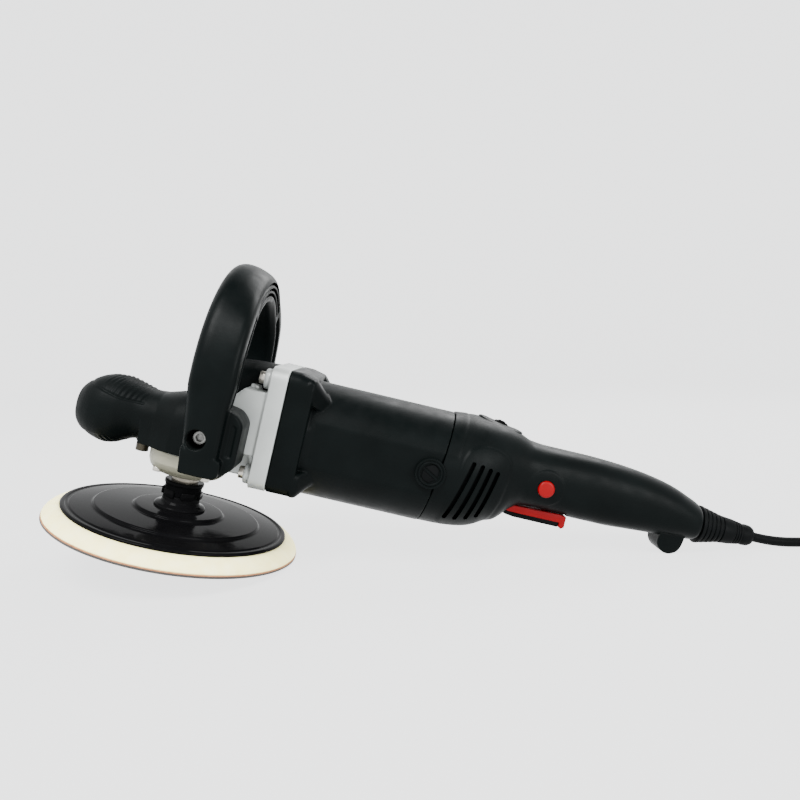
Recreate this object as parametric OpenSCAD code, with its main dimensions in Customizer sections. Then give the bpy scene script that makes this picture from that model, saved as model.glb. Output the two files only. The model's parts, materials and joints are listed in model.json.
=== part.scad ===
// Rotary polisher: backing pad on an angled gear head, round motor housing, straight rear
// handle, loop handle over the head, palm grip in front, and a mains cord.
// Every sub-part is drawn in the tool frame: origin at the middle of the pad's face, +Z up
// the spindle, +X along the motor to the rear handle. at_rest() then lays the tool down on
// its pad's rear rim and the handle's heel, with the floor at Z = 0. Millimetres.

/* [Pad] */
// Radius of the backing pad's face
pad_r = 90; // [75:1:100]
// Thickness of the hook face
hook_t = 2; // [1.5:0.5:3]
// Height of the foam's top above the pad's face
foam_top = 10.5; // [9:0.5:13]
// Radius of the backing plate
plate_r = 79.6; // [70:0.2:84]
// Radius of the hub's collar
hub_r = 14; // [13:0.5:15]
// Height of the hub's top above the pad's face
hub_top = 39; // [37:0.5:40]

/* [Gearing] */
// Tooth module at the outer end of the teeth
gear_module = 1.2; // [1.1:0.05:1.2]
// Length of the teeth
face_w = 7.5; // [6:0.5:8]

/* [Gear head] */
// Radius of the drum around the spindle gear
drum_r = 30; // [29.5:0.5:30]
// Half width of the gear housing's flanks
flank_y = 42; // [41:0.5:43]
// Radius of the spindle bearing's box
bearing_box_r = 28; // [26:0.5:29]

/* [Motor housing] */
// Outer radius of the motor housing
motor_r = 41; // [40:0.5:42]
// Wall of the motor housing and handle shells
wall = 3; // [2.5:0.5:3]
// Distance from the spindle to the carbon brushes
brush_x = 168; // [166:1:170]
// Distance from the spindle to the seam at the motor's axis
seam_x = 174; // [173:1:176]
// Lean of the seam, in degrees
seam_lean = 7; // [5:0.5:8]

/* [Loop handle] */
// Radius of the loop's centreline
loop_r = 66; // [66:1:70]
// Height of the loop's centre
loop_z = 123; // [120:1:126]
// Width of the loop's limb along the tool
limb_w = 29; // [26:1:30]
// Thickness of the loop's limb
limb_t = 24; // [22:1:24]
// Radius of the limb's rounded edges
limb_round = 8; // [6:1:10]

/* [Rear handle] */
// Centre of the heel that the handle rests on
heel = [351, 77.266];
// Radius of the heel
heel_r = 9; // [8:0.5:10]
// Half width of the heel
heel_w = 11; // [9:1:12]

/* [Cord] */
// Diameter of the mains cord
cord_d = 7; // [6.5:0.5:7.5]
// Radius at the middle of the coil's turns
coil_r = 42; // [40:1:44]

/* [Hidden] */
$fn = 48;

// Teeth on the spindle's bevel gear and on the armature's pinion.
gear_teeth = 42;
pinion_teeth = 12;
// Height of the motor's axis above the pad's face, and where the gear housing ends.
motor_z = 91;
joint_x = 62;

black = [0.07, 0.08, 0.08];
grey = [0.68, 0.70, 0.69];
beige = [0.80, 0.78, 0.70];
cream = [0.90, 0.87, 0.76];
steel = [0.60, 0.58, 0.55];
red = [0.80, 0.06, 0.09];
copper = [0.72, 0.42, 0.22];
brass = [0.80, 0.65, 0.30];
carbon = [0.15, 0.15, 0.16];
board_green = [0.05, 0.25, 0.12];

// The pose at rest: the floor touches the pad's rear rim and the heel's underside.
heel_run = heel[0] - pad_r;
rest_tilt = atan2(heel[1], heel_run) - asin(heel_r / norm([heel_run, heel[1]]));
floor_rise = pad_r * sin(rest_tilt);
relief_end = 413;
relief_z = 93;
relief_tip_r = 6.5;
rest_low_x = -pad_r * cos(rest_tilt);
rest_high_x = relief_end * cos(rest_tilt) + (relief_z + relief_tip_r) * sin(rest_tilt);
rest_mid_x = (rest_low_x + rest_high_x) / 2;

module at_rest() {
    translate([-rest_mid_x, 0, floor_rise]) rotate([0, rest_tilt, 0]) children();
}

// Turns a shape drawn along +Z so that it lies along +X or +Y.
module along_x(x = 0) {
    translate([x, 0, motor_z]) rotate([0, 90, 0]) children();
}
module along_y() {
    rotate([-90, 0, 0]) children();
}

module ring(outer, inner, height, bottom = 0) {
    translate([0, 0, bottom]) difference() {
        cylinder(r = outer, h = height);
        translate([0, 0, -1]) cylinder(r = inner, h = height + 2);
    }
}

// Outline of a rectangle with rounded corners, centred on the origin.
function round_rect(w, h, r, steps = 4) = [
    for (corner = [0:3], s = [0:steps])
        let (a = 90 * corner + 90 * s / steps,
            cx = (corner == 0 || corner == 3) ? w / 2 - r : r - w / 2,
            cy = corner < 2 ? h / 2 - r : r - h / 2)
        [cx + r * cos(a), cy + r * sin(a)]
];

// A closed solid through rings that all have the same number of points. A hollow section runs
// along its outside and back along its inside, and its end caps are strips between the two.
module skin(rings, hollow = false) {
    n = len(rings[0]);
    last = len(rings) - 1;
    points = [for (r = rings) each r];
    sides = [for (i = [0:last - 1], j = [0:n - 1], half = [0:1])
        let (k = (j + 1) % n)
        half == 0 ? [i * n + j, i * n + k, (i + 1) * n + j]
            : [i * n + k, (i + 1) * n + k, (i + 1) * n + j]];
    cap = hollow
        ? [for (j = [0:n / 2 - 2]) each [[j, j + 1, n - 2 - j], [j, n - 2 - j, n - 1 - j]]]
        : [for (j = [1:n - 2]) [0, j, j + 1]];
    front = [for (f = cap) [f[2], f[1], f[0]]];
    back = [for (f = cap) [for (i = f) last * n + i]];
    polyhedron(points, concat(sides, front, back), convexity = 8);
}

// One point of a superellipse: w and h are its half axes, e its squareness.
function super_point(w, h, e, a) = [
    w * sign(cos(a)) * pow(abs(cos(a)), 2 / e),
    h * sign(sin(a)) * pow(abs(sin(a)), 2 / e)
];

// ---- Pad and hub ----

centre_hole_r = 9;

module hook_face() {
    color(black) at_rest() ring(pad_r, centre_hole_r, hook_t);
}

module foam_pad() {
    edge = pad_r - 1;
    outline = [[centre_hole_r, hook_t], [edge, hook_t], [edge + 0.6, hook_t + 1.2],
        [edge, hook_t + 2.8], [plate_r + 1, foam_top], [centre_hole_r, foam_top]];
    color(cream) at_rest() rotate_extrude($fn = 96) polygon(outline);
}

plate_steps = [[plate_r, 12.2], [plate_r - 1.2, 13], [60, 14], [58.5, 16], [33, 16.8], [31.5, 19],
    [19, 19.6]];
hub_foot = 19.6;

module backing_plate() {
    outline = concat([[centre_hole_r, foam_top], [plate_r, foam_top]], plate_steps,
        [[centre_hole_r, hub_foot]]);
    color(black) at_rest() rotate_extrude($fn = 96) polygon(outline);
}

thread_r = 7;
insert_r = 9.5;

module pad_hub() {
    outline = [[insert_r, hub_foot], [18, hub_foot], [18, 22], [13.2, 24], [13.2, 36.2],
        [hub_r, 36.6], [hub_r, hub_top], [insert_r, hub_top]];
    color(black) at_rest() rotate_extrude() polygon(outline);
}

module hub_insert() {
    color(steel) at_rest() ring(insert_r, thread_r, hub_top - hub_foot, hub_foot);
}

// ---- Spindle and gearing ----

collar_top = 47;
journal_r = 7.5;
gear_seat_top = 82;
upper_r = 5;
spindle_top = 96.5;

module spindle() {
    outline = [[0, 20], [thread_r - 1, 20], [thread_r, 21], [thread_r, hub_top], [9.5, hub_top],
        [9.5, collar_top], [journal_r, collar_top], [journal_r, gear_seat_top],
        [upper_r, gear_seat_top], [upper_r, spindle_top], [0, spindle_top]];
    color(steel) at_rest() difference() {
        rotate_extrude() polygon(outline);
        translate([journal_r - 2, -1.5, 66]) cube([3, 3, 10]);
    }
}

// Bevel gearing: both pitch cones meet where the spindle's and motor's axes cross.
addendum = 0.75 * gear_module;
dedendum = 1.1 * gear_module;
pressure = 20;
tooth_share = 0.42;
gear_pitch_r = gear_teeth * gear_module / 2;
pinion_pitch_r = pinion_teeth * gear_module / 2;
cone_length = norm([gear_pitch_r, pinion_pitch_r]);
inner_scale = (cone_length - face_w) / cone_length;

function involute_rad(a) = tan(a) - a * PI / 180;

// Tooth thickness at height h above the pitch cone, for a back cone of radius r.
function tooth_t(h, r) =
    let (base = r * cos(pressure), at = max(r + h, base * 1.0005))
    (r + h) * (tooth_share * PI * gear_module / r
        + 2 * (involute_rad(pressure) - involute_rad(acos(base / at))));

// Ring of tooth points of a bevel gear on +Z whose cone's apex is at the origin, opening down.
function tooth_ring(teeth, cone, size, phase) =
    let (r = teeth * gear_module / 2, back = r / cos(cone))
    [for (t = [0:teeth - 1], p = [0:5])
        let (level = [-dedendum, 0, addendum, addendum, 0, -dedendum][p],
            side = p < 3 ? -1 : 1,
            reach = r + level * cos(cone),
            half = tooth_t(level, back) / 2 / reach * 180 / PI,
            a = phase + 360 * t / teeth + side * half)
        size * [reach * cos(a), reach * sin(a), level * sin(cone) - r / tan(cone)]];

// The toothed cone as one closed solid between a point under it and a point in its dish.
module bevel_teeth(teeth, cone, phase, low, high) {
    outer = tooth_ring(teeth, cone, 1, phase);
    inner = tooth_ring(teeth, cone, inner_scale, phase);
    n = len(outer);
    points = concat(outer, inner, [[0, 0, low], [0, 0, high]]);
    faces = [for (j = [0:n - 1], part = [0:3])
        let (k = (j + 1) % n)
        part == 0 ? [2 * n, j, k]
            : part == 1 ? [j, n + j, k]
            : part == 2 ? [k, n + j, n + k]
            : [2 * n + 1, n + k, n + j]];
    polyhedron(points, faces, convexity = 6);
}

// The gear's dish is turned flat around the circlip that holds the gear on the spindle.
gear_hub_low = 63;
gear_hub_top = 79.5;
circlip_r = 9.5;

module bevel_gear() {
    cone = atan2(gear_pitch_r, pinion_pitch_r);
    color(steel) at_rest() difference() {
        union() {
            translate([0, 0, motor_z]) bevel_teeth(gear_teeth, cone, 0, -13, -11.5);
            translate([0, 0, gear_hub_low]) cylinder(r = 12, h = gear_hub_top + 3 - gear_hub_low);
        }
        translate([0, 0, 50]) cylinder(r = journal_r, h = 50);
        translate([0, 0, gear_hub_top]) cylinder(r = circlip_r + 1, h = 20);
        translate([0, -1.5, 66]) cube([journal_r + 2, 3, 10]);
    }
}

module gear_key() {
    color(steel) at_rest() translate([journal_r - 2, -1.5, 66]) cube([3.9, 3, 10]);
}

module gear_circlip() {
    color(steel) at_rest() ring(circlip_r, journal_r, 1.2, gear_hub_top);
}

pinion_bore_r = 3;
pinion_back = 34;

module pinion() {
    cone = atan2(pinion_pitch_r, gear_pitch_r);
    color(steel) at_rest() difference() {
        union() {
            translate([0, 0, motor_z]) rotate([0, -90, 0])
                bevel_teeth(pinion_teeth, cone, 180 / pinion_teeth, -gear_pitch_r - 1, -17);
            along_x(gear_pitch_r - 1.5) cylinder(r = 5.6, h = pinion_back - gear_pitch_r + 1.5);
        }
        along_x(0) cylinder(r = pinion_bore_r, h = 60);
    }
}

nut_bore_r = 2.5;
nut_t = 4.4;
shaft_tip = 12.5;

module pinion_nut() {
    color(steel) at_rest() difference() {
        along_x(shaft_tip + 0.4) cylinder(r = 5, h = nut_t, $fn = 6);
        along_x(0) cylinder(r = nut_bore_r, h = 60);
    }
}

// ---- Ball bearings: inner ring, outer ring and balls between them ----

module bearing_ring(r_in, r_out, width, inner) {
    race_in = r_in + (r_out - r_in) * 0.32;
    race_out = r_out - (r_out - r_in) * 0.32;
    ball_r = (r_out - r_in) * 0.26;
    mid = (r_in + r_out) / 2;
    difference() {
        ring(inner ? race_in : r_out, inner ? r_in : race_out, width);
        translate([0, 0, width / 2]) rotate_extrude() translate([mid, 0]) circle(r = ball_r + 0.05);
    }
}

module bearing_balls(r_in, r_out, width, count) {
    for (i = [0:count - 1])
        rotate([0, 0, 360 * i / count]) translate([(r_in + r_out) / 2, 0, width / 2])
            sphere(r = (r_out - r_in) * 0.26, $fn = 24);
}

// Each bearing as [bore radius, outer radius, width, number of balls].
spindle_bearing = [journal_r, 17.5, 11, 9];
front_bearing = [6, 16, 10, 8];
rear_bearing = [4, 11, 7, 7];
spindle_bearing_z = 50;
front_bearing_x = 43;
rear_bearing_x = 180;

module spindle_bearing_inner() {
    b = spindle_bearing;
    color(steel) at_rest() translate([0, 0, spindle_bearing_z]) bearing_ring(b[0], b[1], b[2], true);
}
module spindle_bearing_outer() {
    b = spindle_bearing;
    color(steel) at_rest() translate([0, 0, spindle_bearing_z]) bearing_ring(b[0], b[1], b[2], false);
}
module spindle_bearing_balls() {
    b = spindle_bearing;
    color(steel) at_rest() translate([0, 0, spindle_bearing_z]) bearing_balls(b[0], b[1], b[2], b[3]);
}
module front_bearing_inner() {
    b = front_bearing;
    color(steel) at_rest() along_x(front_bearing_x) bearing_ring(b[0], b[1], b[2], true);
}
module front_bearing_outer() {
    b = front_bearing;
    color(steel) at_rest() along_x(front_bearing_x) bearing_ring(b[0], b[1], b[2], false);
}
module front_bearing_balls() {
    b = front_bearing;
    color(steel) at_rest() along_x(front_bearing_x) bearing_balls(b[0], b[1], b[2], b[3]);
}
module rear_bearing_inner() {
    b = rear_bearing;
    color(steel) at_rest() along_x(rear_bearing_x) bearing_ring(b[0], b[1], b[2], true);
}
module rear_bearing_outer() {
    b = rear_bearing;
    color(steel) at_rest() along_x(rear_bearing_x) bearing_ring(b[0], b[1], b[2], false);
}
module rear_bearing_balls() {
    b = rear_bearing;
    color(steel) at_rest() along_x(rear_bearing_x) bearing_balls(b[0], b[1], b[2], b[3]);
}

module upper_bush() {
    color(copper) at_rest() ring(8, upper_r + 0.05, 8, 88.5);
}

// ---- Armature ----

shaft_end = 190;
core_x = [100, 145];
core_r = 24;

module armature_shaft() {
    steps = [[shaft_tip, nut_bore_r], [17.4, pinion_bore_r], [pinion_back, 6], [64, 7],
        [177, 4], [shaft_end, 4]];
    color(steel) at_rest() along_x() union() {
        for (i = [0:len(steps) - 2])
            translate([0, 0, steps[i][0]])
                cylinder(r = steps[i][1], h = steps[i + 1][0] - steps[i][0]);
    }
}

module armature_core() {
    slots = 12;
    color(steel) at_rest() along_x(core_x[0]) difference() {
        ring(core_r, 7, core_x[1] - core_x[0]);
        for (i = [0:slots - 1])
            rotate([0, 0, 360 * i / slots]) translate([core_r - 9, -1.6, -1])
                cube([12, 3.2, core_x[1] - core_x[0] + 2]);
    }
}

module armature_windings() {
    color(copper) at_rest() {
        along_x(core_x[0] - 9) ring(21, 7, 9);
        along_x(core_x[1]) ring(21, 7, 9);
    }
}

commutator_r = 15;

module commutator() {
    bars = 24;
    color(copper) at_rest() along_x(157) difference() {
        ring(commutator_r, 7, 19);
        for (i = [0:bars - 1])
            rotate([0, 0, 360 * i / bars]) translate([commutator_r - 0.8, -0.3, -1])
                cube([2, 0.6, 16]);
    }
}

module fan() {
    blades = 11;
    color(black) at_rest() along_x(70) union() {
        ring(12, 7, 14);
        ring(34, 11.9, 2);
        for (i = [0:blades - 1])
            rotate([0, 0, 360 * i / blades]) translate([14, -1, 1.9]) cube([19, 2, 9]);
    }
}

// ---- Gear housing and what closes it ----

flange_w = 86;
flange_h = 84.5;
flange_lift = 3.75;
flange_front = 50;
screw_y = 34;
screw_z = 33;
lug_t = 3;
cavity_r = 26.6;
cavity_low = 72;
cavity_top = 85.2;
// Height at which the bearing box meets the drum.
box_top = 61;
head_bolt_x = 18;
head_bolt_z = 84;

// Outline of the flange, drawn so that along_x() stands it up with its height along Z.
module flange_outline(round_r = 9) {
    translate([-flange_lift, 0]) polygon(round_rect(flange_h, flange_w, round_r));
}

module corners() {
    for (sy = [-1, 1], sz = [-1, 1])
        translate([sz * screw_z - flange_lift, sy * screw_y, 0]) children();
}

module gear_housing() {
    drum = [[0, box_top], [drum_r, box_top], [drum_r, 78], [drum_r - 1.1, 84], [drum_r - 2.1, 86.5],
        [26, 90], [23.5, 93.5], [20, 96.4], [15, 98.4], [0, 98.4]];
    flank = [[4, 57], [28, 57], [43, 75], [flange_front + 1, 75], [flange_front + 1, 119],
        [35, 119], [24, 107], [4, 104]];
    color(grey) at_rest() difference() {
        union() {
            rotate_extrude() polygon(drum);
            translate([0, flank_y, 0]) rotate([90, 0, 0]) linear_extrude(2 * flank_y) polygon(flank);
            translate([20, -22, 57]) cube([flange_front - 19, 44, 20]);
            along_x(flange_front) linear_extrude(joint_x - flange_front) flange_outline();
            along_x(flange_front - lug_t) corners() cylinder(r = 6.5, h = lug_t + 1);
        }
        translate([0, 0, 40]) cylinder(r = bearing_box_r + 0.1, h = box_top - 40);
        translate([0, 0, 60]) cylinder(r = 13.5, h = 14);
        translate([0, 0, cavity_low]) cylinder(r = cavity_r, h = cavity_top - cavity_low);
        translate([0, 0, cavity_top - 0.01]) cylinder(r1 = cavity_r, r2 = 19.5, h = 2.8);
        translate([0, 0, 80]) cylinder(r = 8, h = 17);
        along_x(9) cylinder(r = 9.5, h = 36);
        along_x(front_bearing_x) cylinder(r = front_bearing[1], h = 12);
        along_x(53) cylinder(r = 36, h = 20);
        along_x(flange_front - lug_t - 1) corners() cylinder(r = 2.6, h = 30);
        for (s = [-1, 1]) translate([head_bolt_x, s < 0 ? -flank_y - 1 : flank_y - 13, head_bolt_z])
            along_y() cylinder(r = 4, h = 14);
        for (a = [0:3]) rotate([0, 0, 45 + 90 * a]) translate([23.5, 0, 60]) cylinder(r = 2, h = 7);
    }
}

module bearing_box() {
    outline = [[10.2, 44], [19, 44.2], [24, 46], [26.6, 49], [bearing_box_r, 53],
        [bearing_box_r, box_top], [17.5, box_top], [17.5, 50], [11.5, 50], [10.2, 49]];
    color(beige) at_rest() difference() {
        rotate_extrude() polygon(outline);
        for (a = [0:3]) rotate([0, 0, 45 + 90 * a]) translate([23.5, 0, 40]) cylinder(r = 2, h = 30);
        for (a = [0:3]) rotate([0, 0, 45 + 90 * a]) translate([23.5, 0, 40]) cylinder(r = 3.8, h = 8.5);
    }
}

module bearing_box_screws() {
    color(steel) at_rest() for (a = [0:3])
        rotate([0, 0, 45 + 90 * a]) translate([23.5, 0, 48.5]) union() {
            difference() {
                translate([0, 0, -3]) cylinder(r = 3.5, h = 3);
                translate([0, 0, -3.5]) cylinder(r = 1.6, h = 2.3, $fn = 6);
            }
            cylinder(r = 2, h = 18);
        }
}

flange_screw_end = 84;

module flange_screws() {
    color(steel) at_rest() along_x(flange_front - lug_t) corners() union() {
        translate([0, 0, -5]) difference() {
            cylinder(r = 4.3, h = 5);
            translate([0, 0, -1]) cylinder(r = 2.3, h = 4, $fn = 6);
        }
        cylinder(r = 2.5, h = flange_screw_end - flange_front + lug_t);
    }
}

// ---- Head cover with the palm grip ----

// Stations of the palm grip: [x, underside, top, half width].
grip_stations = [[-84, 70, 84, 6], [-83, 66, 89, 11], [-80.2, 62, 93.5, 16],
    [-75.4, 58.5, 98, 20.5], [-68.8, 55.5, 101.7, 24], [-61.5, 54, 103.7, 25.5],
    [-54, 55.6, 103.9, 25.5], [-47, 59, 102.6, 24], [-39.8, 61.6, 100.6, 22.5], [-31, 62.5, 98.5, 23.5]];
grip_points = 28;

// Stations of the hood over the head: [x, lower edge, top, half width].
hood_stations = [[-31, 62.5, 98.5, 23.5], [-25, 62.2, 99, 25], [-18, 62, 101, 28.5],
    [-10, 62, 103.5, 32], [0, 62, 107.5, 33.6], [3.2, 62, 109.5, 33.6],
    [3.8, 104.2, 110, 33.6], [10, 105.2, 114, 33], [14, 105.8, 121, 32], [18, 106.4, 130, 31],
    [24, 107.3, 135, 30], [35, 119.4, 136, 28.5], [flange_front - 0.2, 119.4, 136.5, 28]];
hood_wall = 2.6;

// Outline of an arch with upright sides and a domed top, from its right foot to its left.
function arch(x, foot, top, w, steps) =
    let (spring = foot + (top - foot) * 0.35)
    concat([[x, w, foot]],
        [for (s = [0:steps]) let (p = super_point(w, top - spring, 2.6, 180 * s / steps))
            [x, p[0], spring + p[1]]],
        [[x, -w, foot]]);

function hood_ring(s) = concat(arch(s[0], s[1], s[2], s[3], 12),
    [for (i = [14:-1:0]) arch(s[0], s[1], s[2] - hood_wall, s[3] - hood_wall, 12)[i]]);

screw_spot_x = -35;
screw_seat_z = 59.8;

module head_cover() {
    grip = [for (s = grip_stations) [for (j = [0:grip_points - 1])
        let (p = super_point(s[3], (s[2] - s[1]) / 2, 2.2, 360 * j / grip_points))
        [s[0], p[0], (s[1] + s[2]) / 2 + p[1]]]];
    color(black) at_rest() {
        difference() {
            union() {
                skin(grip);
                translate([screw_spot_x, 0, screw_seat_z]) cylinder(r = 5, h = 6);
            }
            translate([screw_spot_x, 0, 50]) cylinder(r = 2, h = 26);
        }
        skin([for (s = hood_stations) hood_ring(s)], hollow = true);
    }
}

module cover_screw() {
    color(steel) at_rest() translate([screw_spot_x, 0, screw_seat_z + 0.4]) union() {
        translate([0, 0, -4.5]) difference() {
            cylinder(r = 4.3, h = 4);
            translate([0, 0, -1]) cylinder(r = 2.2, h = 3, $fn = 6);
        }
        translate([0, 0, -0.5]) cylinder(r = 2, h = 15);
    }
}

// ---- Loop handle ----

limb_x = 18.7;
foot_z = 61.5;
foot_inner = flank_y;
bolt_seat_y = 62;

module limb_outline() {
    polygon(round_rect(limb_t, limb_w, limb_round));
}

module loop_handle() {
    ear = [[11, foot_z], [35, foot_z], [43.8, 70], [43.8, 98], [38, 104.5], [28, 106.5],
        [8, 106.5]];
    // The limbs narrow towards their feet along the front.
    taper = [[-5, foot_z - 1], [10.8, foot_z - 1], [8.4, 84], [4.2, 118], [-5, 118]];
    outer = loop_r + limb_t / 2;
    color(black) at_rest() difference() {
        union() {
            translate([limb_x, 0, loop_z]) rotate([90, 0, 90]) rotate_extrude(angle = 180, $fn = 96)
                translate([loop_r, 0]) limb_outline();
            for (s = [-1, 1]) translate([limb_x, s * loop_r, foot_z])
                linear_extrude(loop_z - foot_z) limb_outline();
            for (s = [-1, 1]) translate([0, s < 0 ? -foot_inner : outer - 6, 0]) rotate([90, 0, 0])
                linear_extrude(outer - 6 - foot_inner) polygon(ear);
        }
        for (s = [-1, 1]) translate([0, s < 0 ? -foot_inner : outer + 1, 0]) rotate([90, 0, 0])
            linear_extrude(outer + 1 - foot_inner) polygon(taper);
        for (s = [-1, 1]) translate([head_bolt_x, s < 0 ? -outer - 1 : bolt_seat_y, head_bolt_z])
            along_y() cylinder(r = 6.6, h = outer + 1 - bolt_seat_y);
        for (s = [-1, 1]) translate([head_bolt_x, s < 0 ? -bolt_seat_y - 1 : foot_inner - 1, head_bolt_z])
            along_y() cylinder(r = 4.2, h = bolt_seat_y + 2 - foot_inner);
    }
}

module loop_bolts() {
    color(steel) at_rest() for (s = [-1, 1])
        translate([head_bolt_x, 0, head_bolt_z]) rotate([s * 90, 0, 0]) union() {
            translate([0, 0, bolt_seat_y]) difference() {
                cylinder(r = 6.2, h = 6);
                translate([0, 0, 2.5]) cylinder(r = 3.4, h = 5, $fn = 6);
            }
            translate([0, 0, flank_y - 11]) cylinder(r = 3.95, h = bolt_seat_y - flank_y + 11);
        }
}

// ---- Motor housing, stator and brushes ----

bore_r = motor_r - wall;
boss_r = 10.5;
cap_r = 6.8;
block_end = 80;

// Arms that carry the rear bearing's seat, clear of the commutator and inside the bore.
module bearing_spider() {
    along_x(rear_bearing_x - 2.5) ring(20, 8.5, 2.5);
    along_x(rear_bearing_x - 2) ring(14, rear_bearing[1], rear_bearing[2] + 4);
    along_x() for (a = [45:90:315]) rotate([0, 0, a]) {
        translate([17, -2, rear_bearing_x - 16]) cube([bore_r - 18, 4, 16]);
        translate([bore_r - 1, -2, rear_bearing_x - 18]) cube([2.5, 4, 7]);
    }
}

module motor_housing() {
    color(black) at_rest() union() {
        bearing_spider();
        motor_tube();
        brush_seats();
    }
}

module motor_tube() {
    difference() {
        union() {
            along_x(joint_x) cylinder(r = motor_r, h = 124, $fn = 96);
            along_x(joint_x) linear_extrude(block_end - joint_x) flange_outline();
            along_x(block_end - 1) intersection() {
                corners() cylinder(r1 = 10, r2 = 5, h = 13);
                linear_extrude(13) flange_outline();
            }
        }
        along_x(joint_x - 1) cylinder(r = bore_r, h = 150, $fn = 96);
        along_x(joint_x - 1) corners() cylinder(r = 2.6, h = 25);
        translate([seam_x, -60, motor_z]) rotate([0, seam_lean, 0]) translate([0, 0, -80])
            cube([60, 120, 160]);
        at_brushes() cylinder(r = cap_r + 0.1, h = 60);
    }
}

module at_brushes() {
    for (s = [-1, 1]) translate([brush_x, 0, motor_z]) rotate([s * 90, 0, 0]) children();
}

// The round seats of the brush caps reach past the seam, into a bay in each handle shell.
module brush_seats() {
    difference() {
        at_brushes() cylinder(r = boss_r, h = motor_r + 1.5);
        along_x(joint_x - 1) cylinder(r = bore_r, h = 150, $fn = 96);
        at_brushes() cylinder(r = cap_r + 0.1, h = 60);
    }
}

stator_x = [97, 148];

module stator_core() {
    color(steel) at_rest() along_x(stator_x[0]) difference() {
        cylinder(r = bore_r, h = stator_x[1] - stator_x[0], $fn = 96);
        translate([0, 0, -1]) cylinder(r = core_r + 0.8, h = 60);
        for (s = [-1, 1]) translate([-13, s * 29 - 5, -1]) cube([26, 10, 60]);
    }
}

module field_coils() {
    color(copper) at_rest() for (s = [-1, 1]) along_x() {
        translate([-12, s * 29 - 4, stator_x[0] - 6]) cube([24, 8, stator_x[1] - stator_x[0] + 12]);
    }
}

module baffle_ring() {
    color(black) at_rest() along_x(64) ring(bore_r - 0.2, 20, 3);
}

holder_y = [18, 36.5];
brush_size = [6.5, 10];

module brush_holders() {
    w = brush_size[0] + 3;
    h = brush_size[1] + 3;
    color(brass) at_rest() at_brushes() difference() {
        translate([-w / 2, -h / 2, holder_y[0]]) cube([w, h, holder_y[1] - holder_y[0]]);
        translate([-brush_size[0] / 2, -brush_size[1] / 2, 0]) cube([brush_size[0], brush_size[1], 50]);
    }
}

brush_end = 28;

module carbon_brushes() {
    color(carbon) at_rest() at_brushes()
        translate([-brush_size[0] / 2, -brush_size[1] / 2, commutator_r + 0.2])
            cube([brush_size[0], brush_size[1], brush_end - commutator_r - 0.2]);
}

// A tube of radius r swept along points, each ring square to the path there.
function unit(v) = v / norm(v);
function tube_rings(path, r, sides) =
    let (last = len(path) - 1)
    [for (i = [0:last])
        let (t = unit(path[min(i + 1, last)] - path[max(i - 1, 0)]),
            side = unit(cross(t, abs(t[2]) > 0.9 ? [1, 0, 0] : [0, 0, 1])),
            up = cross(side, t))
        [for (j = [0:sides - 1]) let (a = 360 * j / sides) path[i] + r * (cos(a) * side + sin(a) * up)]];

module brush_springs() {
    turns = 5;
    path = [for (i = [0:turns * 8]) [2.3 * cos(45 * i), 2.3 * sin(45 * i), 0.5 + i * 7 / turns / 8]];
    color(steel) at_rest() at_brushes() translate([0, 0, brush_end]) skin(tube_rings(path, 0.4, 6));
}

module brush_caps() {
    color(black) at_rest() at_brushes() translate([0, 0, holder_y[1]]) difference() {
        cylinder(r = cap_r, h = 5);
        translate([-5, -0.8, 3.6]) cube([10, 1.6, 3]);
    }
}

// ---- Rear handle ----

// Stations of the rear handle: [x at the motor's axis, underside, top, half width, squareness].
shell_stations = [[seam_x, 50.4, 132.2, 41, 2.0], [184, 50.6, 133.2, 41, 2.0],
    [192, 51.6, 133.8, 40.6, 2.05], [200, 53.2, 133.7, 39.4, 2.1], [207, 56, 133.1, 37.5, 2.15],
    [214, 60, 132.2, 35, 2.2], [221, 62, 130.8, 32, 2.25], [225, 67.5, 129.6, 30.2, 2.3],
    [230, 75, 127.8, 28, 2.35], [238, 78, 124.8, 25.6, 2.4], [250, 78, 123.7, 24, 2.45],
    [265, 77.6, 123.7, 22.8, 2.45], [280, 77, 123.7, 22, 2.45], [300, 77, 123, 21.4, 2.4],
    [318, 78, 121.4, 21, 2.4], [334, 79, 119, 20.6, 2.35], [348, 79.8, 115.6, 20.2, 2.3],
    [358, 80.6, 111.8, 19.4, 2.25], [368, 81, 107.6, 17.8, 2.2]];
lean_fade = 30;
shell_steps = 12;

// Points of one half section, from the underside round to the top, inset by t; side is -1 or 1.
function half_section(s, t, side) =
    let (lean = tan(seam_lean) * max(0, 1 - (s[0] - seam_x) / lean_fade),
        zc = (s[1] + s[2]) / 2)
    [for (j = [0:shell_steps])
        let (p = super_point(s[3] - t, (s[2] - s[1]) / 2 - t, s[4], -90 + 180 * j / shell_steps))
        [s[0] + lean * (zc + p[1] - motor_z), side * p[0], zc + p[1]]];

function shell_ring(s, side) =
    let (outer = half_section(s, 0, side), inner = half_section(s, wall, side),
        ring = concat(outer, [for (j = [shell_steps:-1:0]) inner[j]]))
    side > 0 ? [for (j = [len(ring) - 1:-1:0]) ring[j]] : ring;

relief_start = 361;
button_spot = [251, 96];
button_r = 6;
vent_x = 189.5;
vent_pitch = 6.6;
trigger_w = 22;
pivot = [229, 81];
pin_r = 1.5;
// Screws that join the shells: [x, z, length of the boss in each shell].
shell_screw_spots = [[288, 89, 15], [288, 110, 15], [330, 91, 15], [219, 115.5, 26.5]];
dial_spot = [213, 131.2];
dial_tilt = 10;

module at_dial() {
    translate([dial_spot[0], 0, dial_spot[1]]) rotate([0, dial_tilt, 0]) children();
}
module bezel_outline(gap = 0) {
    polygon(round_rect(32 + 2 * gap, 17 + 2 * gap, 8, 8));
}

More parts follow.
